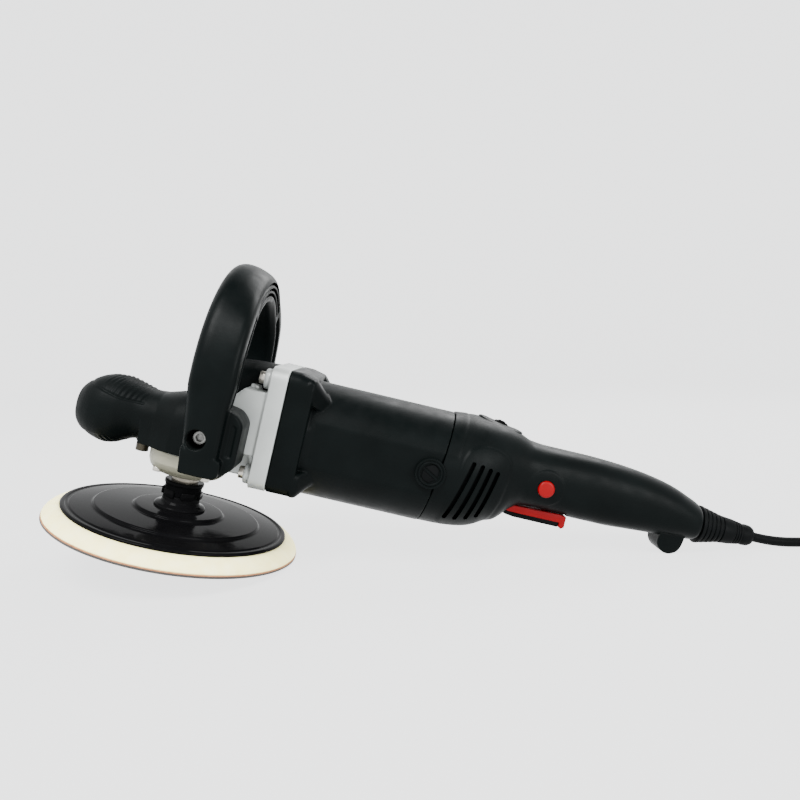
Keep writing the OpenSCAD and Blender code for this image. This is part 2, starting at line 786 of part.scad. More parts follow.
module handle_shell(side) {
    last = len(shell_stations) - 1;
    color(black) at_rest() difference() {
        union() {
            skin([for (s = shell_stations) shell_ring(s, side)], hollow = true);
            for (p = shell_screw_spots) translate([p[0], side > 0 ? 0 : -p[2], p[1]])
                along_y() cylinder(r = 4, h = p[2]);
            translate([heel[0], side > 0 ? 0 : -heel_w, heel[1]])
                along_y() cylinder(r = heel_r, h = heel_w);
        }
        translate([222.5, -trigger_w / 2 - 0.5, 58]) cube([52.4, trigger_w + 1, 26]);
        translate([button_spot[0], -50, button_spot[1]]) along_y() cylinder(r = button_r + 0.3, h = 40);
        for (i = [0:3]) translate([vent_x + vent_pitch * i, side * 36 - 14, 83.5])
            rotate([0, 11.5, 0]) translate([-1.6, 0, -22]) cube([3.2, 28, 44]);
        at_dial() translate([0, 0, -7]) linear_extrude(20) bezel_outline(0.2);
        translate([pivot[0], -20, pivot[1]]) along_y() cylinder(r = pin_r, h = 40);
        for (p = shell_screw_spots) translate([p[0], 3 - p[2], p[1]])
            along_y() cylinder(r = 1.7, h = 60);
        for (p = shell_screw_spots) translate([p[0], p[2] - 3, p[1]])
            along_y() cylinder(r = 3.3, h = 40);
        translate([relief_start - 1, 0, relief_z]) rotate([0, 90, 0]) cylinder(r = 11.2, h = 30);
        at_brushes() cylinder(r = boss_r + 0.1, h = 60);
    }
}

module handle_shell_left() {
    handle_shell(-1);
}
module handle_shell_right() {
    handle_shell(1);
}

module handle_screws() {
    color(steel) at_rest() for (p = shell_screw_spots)
        translate([p[0], 4 - p[2], p[1]]) along_y() union() {
            cylinder(r = 1.6, h = 2 * p[2] - 7);
            translate([0, 0, 2 * p[2] - 7]) difference() {
                cylinder(r = 3.1, h = 2.2);
                translate([-2.2, -0.5, 1.2]) cube([4.4, 1, 2]);
                translate([-0.5, -2.2, 1.2]) cube([1, 4.4, 2]);
            }
        }
}

bezel_low = -2.6;
bezel_top = 2.4;
wheel_slot = [13.6, 5.2];

module dial_bezel() {
    color(black) at_rest() at_dial() difference() {
        translate([0, 0, bezel_low]) linear_extrude(bezel_top - bezel_low) bezel_outline();
        translate([-wheel_slot[0] / 2, -wheel_slot[1] / 2, bezel_low - 1])
            cube([wheel_slot[0], wheel_slot[1], 8]);
        at_wheel() translate([0, 0, -wheel_slot[1] / 2]) cylinder(r = dial_r + 0.5, h = wheel_slot[1]);
    }
}

dial_r = 8;
dial_drop = 4.9;

module at_wheel() {
    translate([0, 0, -dial_drop]) along_y() children();
}

module speed_dial() {
    notches = 16;
    color(black) at_rest() at_dial() at_wheel() translate([0, 0, -2]) difference() {
        cylinder(r = dial_r, h = 4);
        translate([0, 0, -1]) cylinder(r = 2, h = 6);
        for (i = [0:notches - 1])
            rotate([0, 0, 360 * i / notches]) translate([dial_r, 0, -1]) cylinder(r = 0.6, h = 6, $fn = 6);
    }
}

module control_board() {
    color(board_green) at_rest() union() {
        translate([198, -16, 108]) cube([34, 32, 1.6]);
        translate([206, -1.8, 109.6]) cube([7, 3.6, 5]);
        translate([200, 4, 109.6]) cube([8, 9, 7]);
    }
}

module switch_body() {
    color(black) at_rest() union() {
        translate([234, -8, 88]) cube([36, 16, 24]);
        translate([256, -3, 84.6]) cube([8, 6, 4]);
    }
}

module trigger() {
    profile = [[227, 71.6], [231, 69.8], [236, 69], [269.4, 69], [269.4, 73.6], [232, 73.4],
        [227, 74]];
    color(black) at_rest() translate([0, trigger_w / 2 - 1, 0]) rotate([90, 0, 0])
        linear_extrude(trigger_w - 2) polygon(profile);
}

module trigger_inlay() {
    profile = [[225.5, 71.4], [227, 71.4], [227, 74], [232, 73.4], [269.4, 73.6], [269.4, 69.4],
        [271.4, 68.4], [273.6, 69.8], [273.6, 77.6], [233, 78.2], [228, 76.6]];
    color(red) at_rest() difference() {
        union() {
            translate([0, trigger_w / 2, 0]) rotate([90, 0, 0]) linear_extrude(trigger_w) polygon(profile);
            translate([pivot[0], -8, pivot[1]]) along_y() cylinder(r = 3, h = 16);
            translate([pivot[0] - 2.5, -8, 76]) cube([5, 16, 4]);
            translate([258, -3, 77]) cube([4, 6, 2.6]);
        }
        translate([pivot[0], -20, pivot[1]]) along_y() cylinder(r = pin_r + 0.05, h = 40);
    }
}

module trigger_pin() {
    color(steel) at_rest() translate([pivot[0], -13.5, pivot[1]]) along_y() cylinder(r = pin_r, h = 27);
}

module lock_button() {
    color(red) at_rest() translate([button_spot[0], -26.3, button_spot[1]]) along_y() union() {
        cylinder(r = button_r - 0.8, h = 0.8);
        translate([0, 0, 0.7]) cylinder(r = button_r, h = 7);
        translate([0, 0, 7.6]) cylinder(r = 2.2, h = 6);
    }
}

module cord_clamp() {
    color(black) at_rest() difference() {
        translate([336, -11, 88.6]) cube([9, 22, 4]);
        translate([335, 0, 96]) rotate([0, 90, 0]) cylinder(r = 4, h = 12);
    }
}

// The strain relief: a ribbed taper along +X that ends in a round knob.
relief_ribs = 9;
relief_seat = 371;
relief_knob = 403;

module strain_relief() {
    start_r = 14;
    neck_r = 6.4;
    groove = 1.4;
    pitch = (relief_knob - relief_seat) / relief_ribs;
    ribs = [for (i = [0:relief_ribs - 1])
        let (r = start_r + (neck_r - start_r) * i / relief_ribs, x = relief_seat + i * pitch)
        each [[r, x], [r, x + 0.6 * pitch], [r - groove, x + 0.6 * pitch], [r - groove, x + pitch]]];
    bore = cord_d / 2 + 0.1;
    outline = concat([[bore, relief_start], [11, relief_start], [11, relief_seat]], ribs,
        [[relief_tip_r, relief_knob], [relief_tip_r, relief_end - 2], [relief_tip_r - 2, relief_end],
        [bore, relief_end]]);
    color(black) at_rest() translate([0, 0, relief_z]) rotate([0, 90, 0])
        rotate_extrude() polygon(outline);
}

// ---- Cord, coil and plug, in the frame at rest, with the floor at Z = 0 ----

cord_r = cord_d / 2;

// The coil lies past the handle's end, in two layers of four turns side by side. The cord comes
// to its outer turn as a tangent, and leaves from the outer turn of the upper layer.
coil_turns = 4;
coil_layers = 2;
coil_mid = [354, -60];

// From the strain relief down to the floor and on to the coil.
cord_route = [[254.2, 0, 8.6], [262, 0, 6.6], [270, 0, 5], [279, 0, 3.9], [288, -0.2, 3.5],
    [298, -0.9, 3.5], [309, -2.2, 3.5], [320, -3.9, 3.5], [331, -5.6, 3.5], [342, -6.9, 3.5],
    [354, -7.5, 3.5]];
// From the coil's upper layer to the back of the plug.
tail_route = [[354, -7.5, 10.5], [362, -7.2, 10.8], [370, -6.1, 11.4], [379, -3.6, 12.2],
    [388, -1.2, 12.8], [396, 0, 13]];

plug_back = 396;
plug_y = 0;
plug_z = 13;
plug_spread = 19;
plug_face = 434;
pin_length = 19;

module cord() {
    color(black) skin(tube_rings(cord_route, cord_r, 10));
}

module cord_coil() {
    half = cord_d * coil_turns / 2;
    color(black) translate([coil_mid[0], coil_mid[1], 0])
        ring(coil_r + half, coil_r - half, coil_layers * cord_d, $fn = 64);
}

module cord_tail() {
    color(black) skin(tube_rings(tail_route, cord_r, 10));
}

module at_plug() {
    translate([plug_back, plug_y, plug_z]) rotate([0, 90, 0]) children();
}

module plug_body() {
    color(black) at_plug() union() {
        cylinder(r = 5.5, h = 8);
        translate([0, 0, 7.5]) linear_extrude(10) polygon(round_rect(20, 25, 9));
        translate([0, 0, 17]) linear_extrude(plug_face - plug_back - 17) polygon(round_rect(26, 35, 12));
    }
}

module plug_pins() {
    color(steel) at_plug() for (s = [-1, 1]) translate([0, s * plug_spread / 2, plug_face - plug_back])
        cylinder(r = 2.4, h = pin_length);
}

hook_face();
foam_pad();
backing_plate();
pad_hub();
hub_insert();
spindle();
bevel_gear();
gear_key();
gear_circlip();
spindle_bearing_inner();
pinion();
pinion_nut();
armature_shaft();
armature_core();
armature_windings();
commutator();
fan();
front_bearing_inner();
rear_bearing_inner();
gear_housing();
bearing_box();
bearing_box_screws();
spindle_bearing_outer();
spindle_bearing_balls();
upper_bush();
front_bearing_outer();
front_bearing_balls();
rear_bearing_outer();
rear_bearing_balls();
head_cover();
cover_screw();
loop_handle();
loop_bolts();
flange_screws();
motor_housing();
stator_core();
field_coils();
baffle_ring();
brush_holders();
carbon_brushes();
brush_springs();
brush_caps();
handle_shell_left();
handle_shell_right();
handle_screws();
dial_bezel();
speed_dial();
control_board();
switch_body();
trigger();
trigger_inlay();
trigger_pin();
lock_button();
cord_clamp();
strain_relief();
cord();
cord_coil();
cord_tail();
plug_body();
plug_pins();
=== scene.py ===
"""Looks of the rotary polisher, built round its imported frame.

Shapes are written in millimetres in the tool frame: origin at the middle of the pad's face, +Z up
the spindle, +X along the motor to the rear handle, and the near side at -Y. TOOL lays them down
as the frame stands on the floor. The cord is written in the row frame itself.
"""

import json
import math

import bmesh
import bpy
import numpy as np
from mathutils import Matrix, Vector


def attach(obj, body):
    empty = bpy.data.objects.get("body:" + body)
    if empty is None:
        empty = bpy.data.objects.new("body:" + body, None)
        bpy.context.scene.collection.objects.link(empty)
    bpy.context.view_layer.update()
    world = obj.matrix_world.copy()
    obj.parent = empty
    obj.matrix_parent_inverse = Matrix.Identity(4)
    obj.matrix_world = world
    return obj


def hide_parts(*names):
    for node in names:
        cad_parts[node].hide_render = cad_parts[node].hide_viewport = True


MM = 0.001
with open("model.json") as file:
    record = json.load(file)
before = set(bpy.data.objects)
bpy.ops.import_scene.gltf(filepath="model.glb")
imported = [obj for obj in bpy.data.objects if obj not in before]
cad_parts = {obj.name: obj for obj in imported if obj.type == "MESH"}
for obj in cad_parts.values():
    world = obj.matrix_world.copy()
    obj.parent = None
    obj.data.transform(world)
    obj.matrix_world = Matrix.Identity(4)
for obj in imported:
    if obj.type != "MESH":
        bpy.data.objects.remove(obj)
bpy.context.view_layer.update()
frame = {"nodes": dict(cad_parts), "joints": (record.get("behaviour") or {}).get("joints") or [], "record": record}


def tool_matrix():
    """From millimetres in the tool frame to metres in the row frame."""
    spin = next(joint for joint in frame["joints"] if joint["name"] == "spindle_spin")
    up = Vector(spin["axis"]).normalized()
    across = Vector((0, 1, 0))
    turn = Matrix((across.cross(up), across, up)).transposed().to_4x4()
    return Matrix.Translation(Vector(spin["pos_m"])) @ turn @ Matrix.Scale(MM, 4)


def add_object(name, data):
    obj = bpy.data.objects.new(name, data)
    bpy.context.scene.collection.objects.link(obj)
    return obj


TOOL = tool_matrix()
ROW = Matrix.Scale(MM, 4)
UNPLACED = Matrix.Identity(4)

# Places that several pieces share
MOTOR_Z = 91
RELIEF_Z = 93
LOOP_BOLT_X, LOOP_BOLT_Z = 18, 84
COVER_SCREW_X = -35


# ---- Camera and light ----

CAMERA_PLACE, CAMERA_AIM = (-9.1, -539.2, 158.9), (-2.1, 0, 115.2)
CAMERA_ROLL = -1.21
FILM_WIDTH, FOCAL_LENGTH = 36, 33.75
WORLD_TINT, WORLD_STRENGTH = (0.9, 0.92, 0.94, 1), 0.12
LAMPS = [  # name, place, what it faces, width in metres, power in watts
    ("key", (-0.5, -0.9, 1.5), (0, 0, 0.08), 0.9, 88),
    ("rim", (0.6, 1.0, 1.1), (0, 0, 0.1), 0.8, 28),
    ("fill", (0.9, -1.2, 0.5), (0, 0, 0.08), 0.8, 26),
]


def add_camera():
    """The viewing position: beside the tool, a little above it, with a slight roll."""
    place = Vector(CAMERA_PLACE) * MM
    aim = Vector(CAMERA_AIM) * MM
    data = bpy.data.cameras.new("camera")
    data.sensor_width, data.lens = FILM_WIDTH, FOCAL_LENGTH
    data.clip_start, data.clip_end = 0.01, 50
    look = (aim - place).to_track_quat("-Z", "Y")
    roll = Matrix.Rotation(math.radians(CAMERA_ROLL), 4, "Z")
    camera = add_object("camera", data)
    camera.matrix_world = Matrix.Translation(place) @ look.to_matrix().to_4x4() @ roll
    bpy.context.scene.camera = camera


def add_lights():
    world = bpy.data.worlds.new("studio")
    world.use_nodes = True
    background = world.node_tree.nodes["Background"].inputs
    background["Color"].default_value = WORLD_TINT
    background["Strength"].default_value = WORLD_STRENGTH
    bpy.context.scene.world = world
    for name, place, aim, width, power in LAMPS:
        data = bpy.data.lights.new(name, "AREA")
        data.shape, data.size, data.energy = "DISK", width, power
        lamp = add_object(name, data)
        lamp.location = place
        turn = (Vector(aim) - Vector(place)).to_track_quat("-Z", "Y")
        lamp.rotation_euler = turn.to_euler()


add_camera()
add_lights()


# ---- Node materials ----

NOISE_SPAN = (0.3, 0.7)  # where nearly all of a noise texture's values lie

# Colour, roughness from and to, then grain, depth and gloss where they differ
MOULDED = {
    "black_plastic": ((0.0013, 0.002, 0.002), 0.32, 0.46),
    "grip_plastic": ((0.0016, 0.0023, 0.0023), 0.42, 0.56, 0.5, 0.06),
    "dial_plastic": ((0.0011, 0.0013, 0.0014), 0.45, 0.6),
    "plug_plastic": ((0.0016, 0.0019, 0.002), 0.4, 0.55),
    "trigger_rubber": ((0.0014, 0.0017, 0.0018), 0.5, 0.65),
    "cord_rubber": ((0.0014, 0.0017, 0.0018), 0.44, 0.6, 0.3, 0.02),
    "red_plastic": ((0.125, 0.0001, 0.0014), 0.3, 0.42, 0.5, 0.015, 0.08),
    "carbon": ((0.02, 0.02, 0.022), 0.5, 0.7),
    "board": ((0.01, 0.1, 0.035), 0.35, 0.5),
}
PAINTED = {
    "grey_alloy": (0.29, 0.305, 0.297),
    "beige_alloy": (0.2, 0.195, 0.145),
}
# Colour, roughness from and to, then the grain's stretch
METALS = {
    "steel": ((0.17, 0.155, 0.13), 0.26, 0.42, (1, 1, 3)),
    "gear_steel": ((0.42, 0.42, 0.42), 0.25, 0.42),
    "core_steel": ((0.3, 0.31, 0.33), 0.35, 0.5, (6, 1, 1)),
    "bearing_steel": ((0.62, 0.62, 0.64), 0.08, 0.18),
    "screw_steel": ((0.4, 0.38, 0.34), 0.25, 0.42),
    "black_screw": ((0.045, 0.04, 0.03), 0.3, 0.48),
    "dull_screw": ((0.15, 0.15, 0.145), 0.3, 0.46),
    "copper": ((0.68, 0.3, 0.15), 0.28, 0.45),
    "bronze": ((0.58, 0.4, 0.17), 0.35, 0.5),
    "pin_metal": ((0.66, 0.63, 0.58), 0.14, 0.25),
}


class Look:
    """A material's nodes, with short ways to add what the finishes here share."""

    def __init__(self, name, colour, roughness, metallic=0.0):
        self.material = bpy.data.materials.new(name)
        self.material.use_nodes = True
        self.tree = self.material.node_tree
        self.shader = self.tree.nodes["Principled BSDF"]
        self.set("Base Color", (*colour, 1))
        self.set("Roughness", roughness)
        self.set("Metallic", metallic)
        self.place = self.node("ShaderNodeTexCoord").outputs["Object"]
        self.normal = None

    def node(self, kind, **inputs):
        """A new node with those of its inputs set."""
        n = self.tree.nodes.new(kind)
        for socket, value in inputs.items():
            n.inputs[socket.replace("_", " ")].default_value = value
        return n

    def set(self, socket, value):
        self.shader.inputs[socket].default_value = value

    def link(self, a, b):
        self.tree.links.new(a, b)

    def scaled_place(self, size_mm, stretch=(1, 1, 1)):
        """The place on the object, in units of that many millimetres."""
        mapping = self.node("ShaderNodeMapping", Scale=[k / (size_mm * MM) for k in stretch])
        self.link(self.place, mapping.inputs["Vector"])
        return mapping.outputs["Vector"]

    def noise(self, size_mm, detail=3.0, stretch=(1, 1, 1)):
        """Noise whose features are about that many millimetres across."""
        place = self.scaled_place(size_mm, stretch)
        noise = self.node("ShaderNodeTexNoise", Scale=1, Detail=detail)
        self.link(place, noise.inputs["Vector"])
        return noise.outputs["Fac"]

    def cells(self, size_mm):
        """Pores or hooks about that many millimetres across."""
        place = self.scaled_place(size_mm)
        cells = self.node("ShaderNodeTexVoronoi", Scale=1)
        self.link(place, cells.inputs["Vector"])
        return cells.outputs["Distance"]

    def tint(self, fac, colours):
        """Base colour that runs through the colours as the noise rises."""
        ramp = self.node("ShaderNodeValToRGB")
        stops = ramp.color_ramp.elements
        while len(stops) < len(colours):
            stops.new(0.5)
        first, last = NOISE_SPAN
        for i, (stop, colour) in enumerate(zip(stops, colours)):
            stop.position = first + (last - first) * i / (len(colours) - 1)
            stop.color = (*colour, 1)
        self.link(fac, ramp.inputs["Fac"])
        self.link(ramp.outputs["Color"], self.shader.inputs["Base Color"])

    def rough(self, fac, low, high):
        """Roughness that runs from low to high as the noise rises."""
        first, last = NOISE_SPAN
        n = self.node("ShaderNodeMapRange", From_Min=first, From_Max=last, To_Min=low, To_Max=high)
        self.link(fac, n.inputs["Value"])
        self.link(n.outputs["Result"], self.shader.inputs["Roughness"])

    def bump(self, height, depth_mm, strength):
        n = self.node("ShaderNodeBump", Distance=depth_mm * MM, Strength=strength)
        self.link(height, n.inputs["Height"])
        if self.normal:
            self.link(self.normal, n.inputs["Normal"])
        self.normal = n.outputs["Normal"]
        self.link(self.normal, self.shader.inputs["Normal"])


def shade(colour, k):
    return tuple(c * k for c in colour)


def moulded(name, colour, low, high, grain_mm=0.35, depth=0.03, gloss=0.03):
    """Moulded plastic or rubber: fine grain, faint clouding and handling marks."""
    look = Look(name, colour, (low + high) / 2)
    look.set("Specular IOR Level", gloss)
    cloud = look.noise(26, 4)
    look.tint(cloud, [shade(colour, 0.82), colour, shade(colour, 1.22)])
    look.rough(look.noise(9, 5), low, high)
    look.bump(look.noise(14, 2), 0.1, 0.25)
    look.bump(look.noise(grain_mm, 2), depth, 0.5)
    return look


def painted(name, colour):
    """Satin paint on a casting, with a faint orange peel."""
    look = Look(name, colour, 0.4, 0.35)
    look.tint(look.noise(18, 4), [shade(colour, 0.9), colour, shade(colour, 1.06)])
    look.rough(look.noise(5, 4), 0.34, 0.5)
    look.bump(look.noise(1.6, 3), 0.05, 0.5)
    look.bump(look.noise(0.4, 2), 0.02, 0.4)
    return look


def metal(name, colour, low, high, stretch=(1, 1, 1)):
    """Bare metal with small stains and a fine grain."""
    look = Look(name, colour, (low + high) / 2, 1.0)
    look.tint(look.noise(4, 5), [shade(colour, 0.75), colour, shade(colour, 1.1)])
    look.rough(look.noise(1.2, 4, stretch), low, high)
    look.bump(look.noise(0.4, 2, stretch), 0.02, 0.4)
    return look


def glossy_plate():
    look = Look("plate_plastic", (0.002, 0.002, 0.0022), 0.12)
    look.set("Specular IOR Level", 0.01)
    look.tint(look.noise(30, 3), [(0.0016, 0.0016, 0.0018), (0.0028, 0.0028, 0.003)])
    look.rough(look.noise(6, 5), 0.07, 0.18)
    look.bump(look.noise(7, 3), 0.05, 0.25)
    return look


def open_foam():
    look = Look("foam", (0.93, 0.86, 0.5), 0.85)
    look.tint(look.noise(7, 5), [(0.93, 0.84, 0.36), (0.96, 0.89, 0.42), (0.97, 0.92, 0.5)])
    look.rough(look.noise(2, 3), 0.78, 0.95)
    look.bump(look.cells(0.55), 0.2, 0.55)
    look.set("Sheen Weight", 0.1)
    return look


def hook_cloth():
    look = Look("hook_fabric", (0.018, 0.016, 0.015), 0.9)
    look.tint(look.noise(1.5, 4), [(0.01, 0.009, 0.008), (0.03, 0.026, 0.023)])
    look.bump(look.cells(0.9), 0.5, 0.9)
    look.rough(look.noise(1, 2), 0.8, 0.95)
    look.set("Sheen Weight", 0.08)
    return look


def glue_line():
    look = Look("hook_backing", (0.3, 0.115, 0.035), 0.7)
    look.tint(look.noise(3, 4), [(0.2, 0.075, 0.025), (0.36, 0.15, 0.05)])
    look.bump(look.noise(0.5, 3), 0.1, 0.5)
    return look


def make_looks():
    looks = {name: moulded(name, *values) for name, values in MOULDED.items()}
    looks |= {name: painted(name, colour) for name, colour in PAINTED.items()}
    looks |= {name: metal(name, *values) for name, values in METALS.items()}
    looks["plate_plastic"] = glossy_plate()
    looks["foam"] = open_foam()
    looks["hook_fabric"] = hook_cloth()
    looks["hook_backing"] = glue_line()
    return {name: look.material for name, look in looks.items()}


LOOKS = make_looks()


# ---- Places ----


def at(x=0.0, y=0.0, z=0.0):
    return Matrix.Translation((x, y, z))


def turned(degrees, axis):
    return Matrix.Rotation(math.radians(degrees), 4, axis)


def along_x(x=0.0, y=0.0, z=MOTOR_Z):
    """Turns a shape on +Z to lie along +X, on the motor's axis unless told otherwise."""
    return at(x, y, z) @ turned(90, "Y")


def along_y(x, y, z, side=1):
    """Turns a shape on +Z to lie along +Y, or -Y for side -1."""
    return at(x, y, z) @ turned(-90 * side, "X")


def put(shape, place):
    points, faces = shape
    return [tuple(place @ Vector(p)) for p in points], faces


def polar(r, degrees):
    a = math.radians(degrees)
    return r * math.cos(a), r * math.sin(a)


# ---- Shapes: (points, faces) pairs in millimetres ----


def ramp(values, low, high):
    """A smooth step from 0 to 1 as the values run from low to high."""
    t = np.clip((values - low) / (high - low), 0, 1)
    return t * t * (3 - 2 * t)


def interpolate(stations, x):
    """The rest of a station's numbers at x, on a smooth curve that doesn't overshoot."""
    rows = np.array(stations, float)
    i = int(np.clip(np.searchsorted(rows[:, 0], x) - 1, 0, len(rows) - 2))
    step = np.diff(rows[:, 0])
    slope = np.diff(rows, axis=0) / step[:, None]

    def tangent(k):
        if k in (0, len(rows) - 1):
            return slope[0 if k == 0 else -1]
        a, b = slope[k - 1], slope[k]
        return np.where(a * b > 0, 2 * a * b / np.where(a + b == 0, 1, a + b), 0)

    h = step[i]
    t = float(np.clip((x - rows[i, 0]) / h, 0, 1))
    value = (
        rows[i] * (1 + 2 * t) * (1 - t) ** 2
        + h * tangent(i) * t * (1 - t) ** 2
        + rows[i + 1] * t * t * (3 - 2 * t)
        + h * tangent(i + 1) * t * t * (t - 1)
    )
    return value[1:]


def super_point(w, h, e, degrees):
    """A point of a superellipse: w and h are its half axes, e its squareness."""
    c, s = polar(1, degrees)
    return w * math.copysign(abs(c) ** (2 / e), c), h * math.copysign(abs(s) ** (2 / e), s)


def oval(w, h, e, count=72):
    """A closed superellipse, as an outline."""
    return [super_point(w, h, e, 360 * k / count) for k in range(count)]


def corner_curve(before, corner, after, radius, steps, share):
    """Points that round a corner off, using at most that share of either side."""
    p = Vector(corner)
    a, b = Vector(before) - p, Vector(after) - p
    r = min(radius, share * a.length, share * b.length)
    start, end = p + a.normalized() * r, p + b.normalized() * r
    turns = [k / steps for k in range(steps + 1)]
    return [tuple(start * (1 - t) ** 2 + p * 2 * t * (1 - t) + end * t * t) for t in turns]


def rounded(points, radius, steps=4, closed=True):
    """The outline again, with its corners rounded."""
    out = []
    n = len(points)
    for i, p in enumerate(points):
        if not closed and i in (0, n - 1):
            out.append(tuple(p))
        else:
            out += corner_curve(points[i - 1], p, points[(i + 1) % n], radius, steps, 0.45)
    return out


def round_rect(w, h, r, steps=6):
    return [
        (sx * (w / 2 - r) + r * math.cos(a), sy * (h / 2 - r) + r * math.sin(a))
        for corner, (sx, sy) in enumerate([(1, 1), (-1, 1), (-1, -1), (1, -1)])
        for a in (math.radians(90 * corner + 90 * k / steps) for k in range(steps + 1))
    ]


def inset(outline, by):
    """The outline moved inwards; it runs anticlockwise."""
    out = []
    n = len(outline)
    for i in range(n):
        a, b = Vector(outline[i - 1]), Vector(outline[(i + 1) % n])
        d = (b - a).normalized()
        out.append((outline[i][0] - by * d.y, outline[i][1] + by * d.x))
    return out


def loft(rings, closed_along=False, caps=True):
    """Skin through rings with the same number of points each."""
    n = len(rings[0])
    points = [tuple(p) for ring in rings for p in ring]
    pairs = len(rings) if closed_along else len(rings) - 1
    faces = []
    for i in range(pairs):
        a, b = i * n, (i + 1) % len(rings) * n
        faces += [[a + j, a + (j + 1) % n, b + (j + 1) % n, b + j] for j in range(n)]
    if caps and not closed_along:
        faces.append(list(reversed(range(n))))
        faces.append([(len(rings) - 1) * n + j for j in range(n)])
    return points, faces


def lathe(outline, steps=96):
    """Solid of revolution about Z of a section of (radius, height) points."""
    points, faces, rows = [], [], []
    for r, z in outline:
        if r < 1e-6:
            rows.append([len(points)] * steps)
            points.append((0.0, 0.0, z))
            continue
        rows.append(list(range(len(points), len(points) + steps)))
        turns = [2 * math.pi * k / steps for k in range(steps)]
        points += [(r * math.cos(a), r * math.sin(a), z) for a in turns]
    hollow = outline[0][0] > 1e-6
    for i in range(len(rows) if hollow else len(rows) - 1):
        a, b = rows[i], rows[(i + 1) % len(rows)]
        for k in range(steps):
            m = (k + 1) % steps
            corners = [a[k], a[m], b[m], b[k]]
            kept = [c for j, c in enumerate(corners) if c not in corners[:j]]
            if len(kept) > 2:
                faces.append(kept)
    return points, faces


def turned_rod(section, edge, steps=96, edge_steps=2):
    """Lathe work whose section starts and ends on the axis, with rounded edges."""
    return lathe(rounded(section, edge, edge_steps, closed=False), steps)


def drum(r, low, high, edge=0.5, steps=64):
    """A cylinder on Z with rounded edges."""
    return turned_rod([(0, low), (r, low), (r, high), (0, high)], edge, steps, 3)


def prism(outline, low, high, edge=0.6, steps=3):
    """The outline extruded along Z, with rounded rims."""
    turns = [math.radians(90 * k / steps) for k in range(steps + 1)]
    levels = [(low + edge * (1 - math.sin(a)), edge * (1 - math.cos(a))) for a in turns]
    levels += [(low + high - z, k) for z, k in reversed(levels)]
    levels.sort(key=lambda pair: pair[0])
    return loft([[(*p, z) for p in inset(outline, k)] for z, k in levels])


def upright(outline, low, high, edge, steps=3):
    """An outline of (x, z) points made solid between two Y values."""
    flip = Matrix(((1, 0, 0, 0), (0, 0, 1, 0), (0, 1, 0, 0), (0, 0, 0, 1)))
    return put(prism(outline, low, high, edge, steps), flip)


def upright_on(side, outline, near, far, edge, steps=3):
    """The same between two distances from the middle plane, on one side of it."""
    low, high = sorted((side * near, side * far))
    return upright(outline, low, high, edge, steps)


def join(*shapes):
    points, faces = [], []
    for p, f in shapes:
        base = len(points)
        points = points + list(p)
        faces = faces + [[base + i for i in face] for face in f]
    return points, faces


# ---- From shapes to pieces ----


def placed(points, matrix=TOOL):
    return points @ np.array(matrix.to_3x3()).T + np.array(matrix.translation)


def mesh_object(name, shape, matrix=TOOL):
    points, faces = shape
    mesh = bpy.data.meshes.new(name)
    mesh.from_pydata(placed(np.array(points, float), matrix).tolist(), [], faces)
    mesh.validate()
    return add_object(name, mesh)


def solid(name, shape, matrix=TOOL):
    """An object from closed shapes, with its faces turned outwards."""
    obj = mesh_object(name, shape, matrix)
    work = bmesh.new()
    work.from_mesh(obj.data)
    bmesh.ops.recalc_face_normals(work, faces=work.faces)
    work.to_mesh(obj.data)
    work.free()
    return obj


def applied(obj):
    """The object's mesh with its modifiers applied."""
    graph = bpy.context.evaluated_depsgraph_get()
    return bpy.data.meshes.new_from_object(obj.evaluated_get(graph))


def add_cut(obj, cutter):
    """A cut by another object, whose shapes may overlap."""
    boolean = obj.modifiers.new("cut", "BOOLEAN")
    boolean.object, boolean.operation = cutter, "DIFFERENCE"
    boolean.solver, boolean.use_self = "EXACT", True


def melt(name, shape, cuts, voxel, passes, reshape=None):
    """Overlapping closed shapes made one skin, less the cuts, with every edge softened."""
    raw = solid(name, shape, UNPLACED)
    cutter = solid(name + "_cut", join(*cuts), UNPLACED)
    add_cut(raw, cutter)
    remesh = raw.modifiers.new("skin", "REMESH")
    remesh.mode, remesh.voxel_size = "VOXEL", voxel
    soften = raw.modifiers.new("soften", "SMOOTH")
    soften.factor, soften.iterations = 0.5, passes
    mesh = applied(raw)
    bpy.data.objects.remove(raw)
    bpy.data.objects.remove(cutter)
    points = np.zeros(len(mesh.vertices) * 3)
    mesh.vertices.foreach_get("co", points)
    points = points.reshape(-1, 3)
    if reshape:
        points = reshape(points)
    mesh.vertices.foreach_set("co", placed(points).ravel())
    mesh.update()
    return add_object(name, mesh)


def carve(obj, cuts):
    """Takes cut shapes, given in the tool frame, out of a piece."""
    cutter = solid("cutter", join(*cuts))
    add_cut(obj, cutter)
    obj.data = applied(obj)
    obj.modifiers.clear()
    bpy.data.objects.remove(cutter)


def dress(obj, look, body="housing", nodes=(), sharp=35):
    """Gives a piece its finish and its body, and hides the CAD nodes that it stands for."""
    obj.data.materials.clear()
    obj.data.materials.append(LOOKS[look])
    obj.data.polygons.foreach_set("use_smooth", [True] * len(obj.data.polygons))
    obj.data.set_sharp_from_angle(angle=math.radians(sharp))
    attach(obj, body)
    if nodes:
        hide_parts(*nodes)
    return obj


def piece(name, shape, look, body="housing", nodes=(), sharp=35):
    return dress(solid(name, shape), look, body, nodes, sharp)


# ---- Cord, coil and plug, in the row frame ----

CORD_R = 3.5
COIL_MID = (354, -60)
COIL_OUTER, COIL_INNER = 52.5, 31.5
LOW_TURNS, HIGH_TURNS = 4, 3
KNOTS_PER_TURN = 24
FLOOR_Z, UPPER_Z = 3.5, 10.5
TIE_ANGLE, TIE_HALF, TIE_THICK = -45, 4.5, 0.8

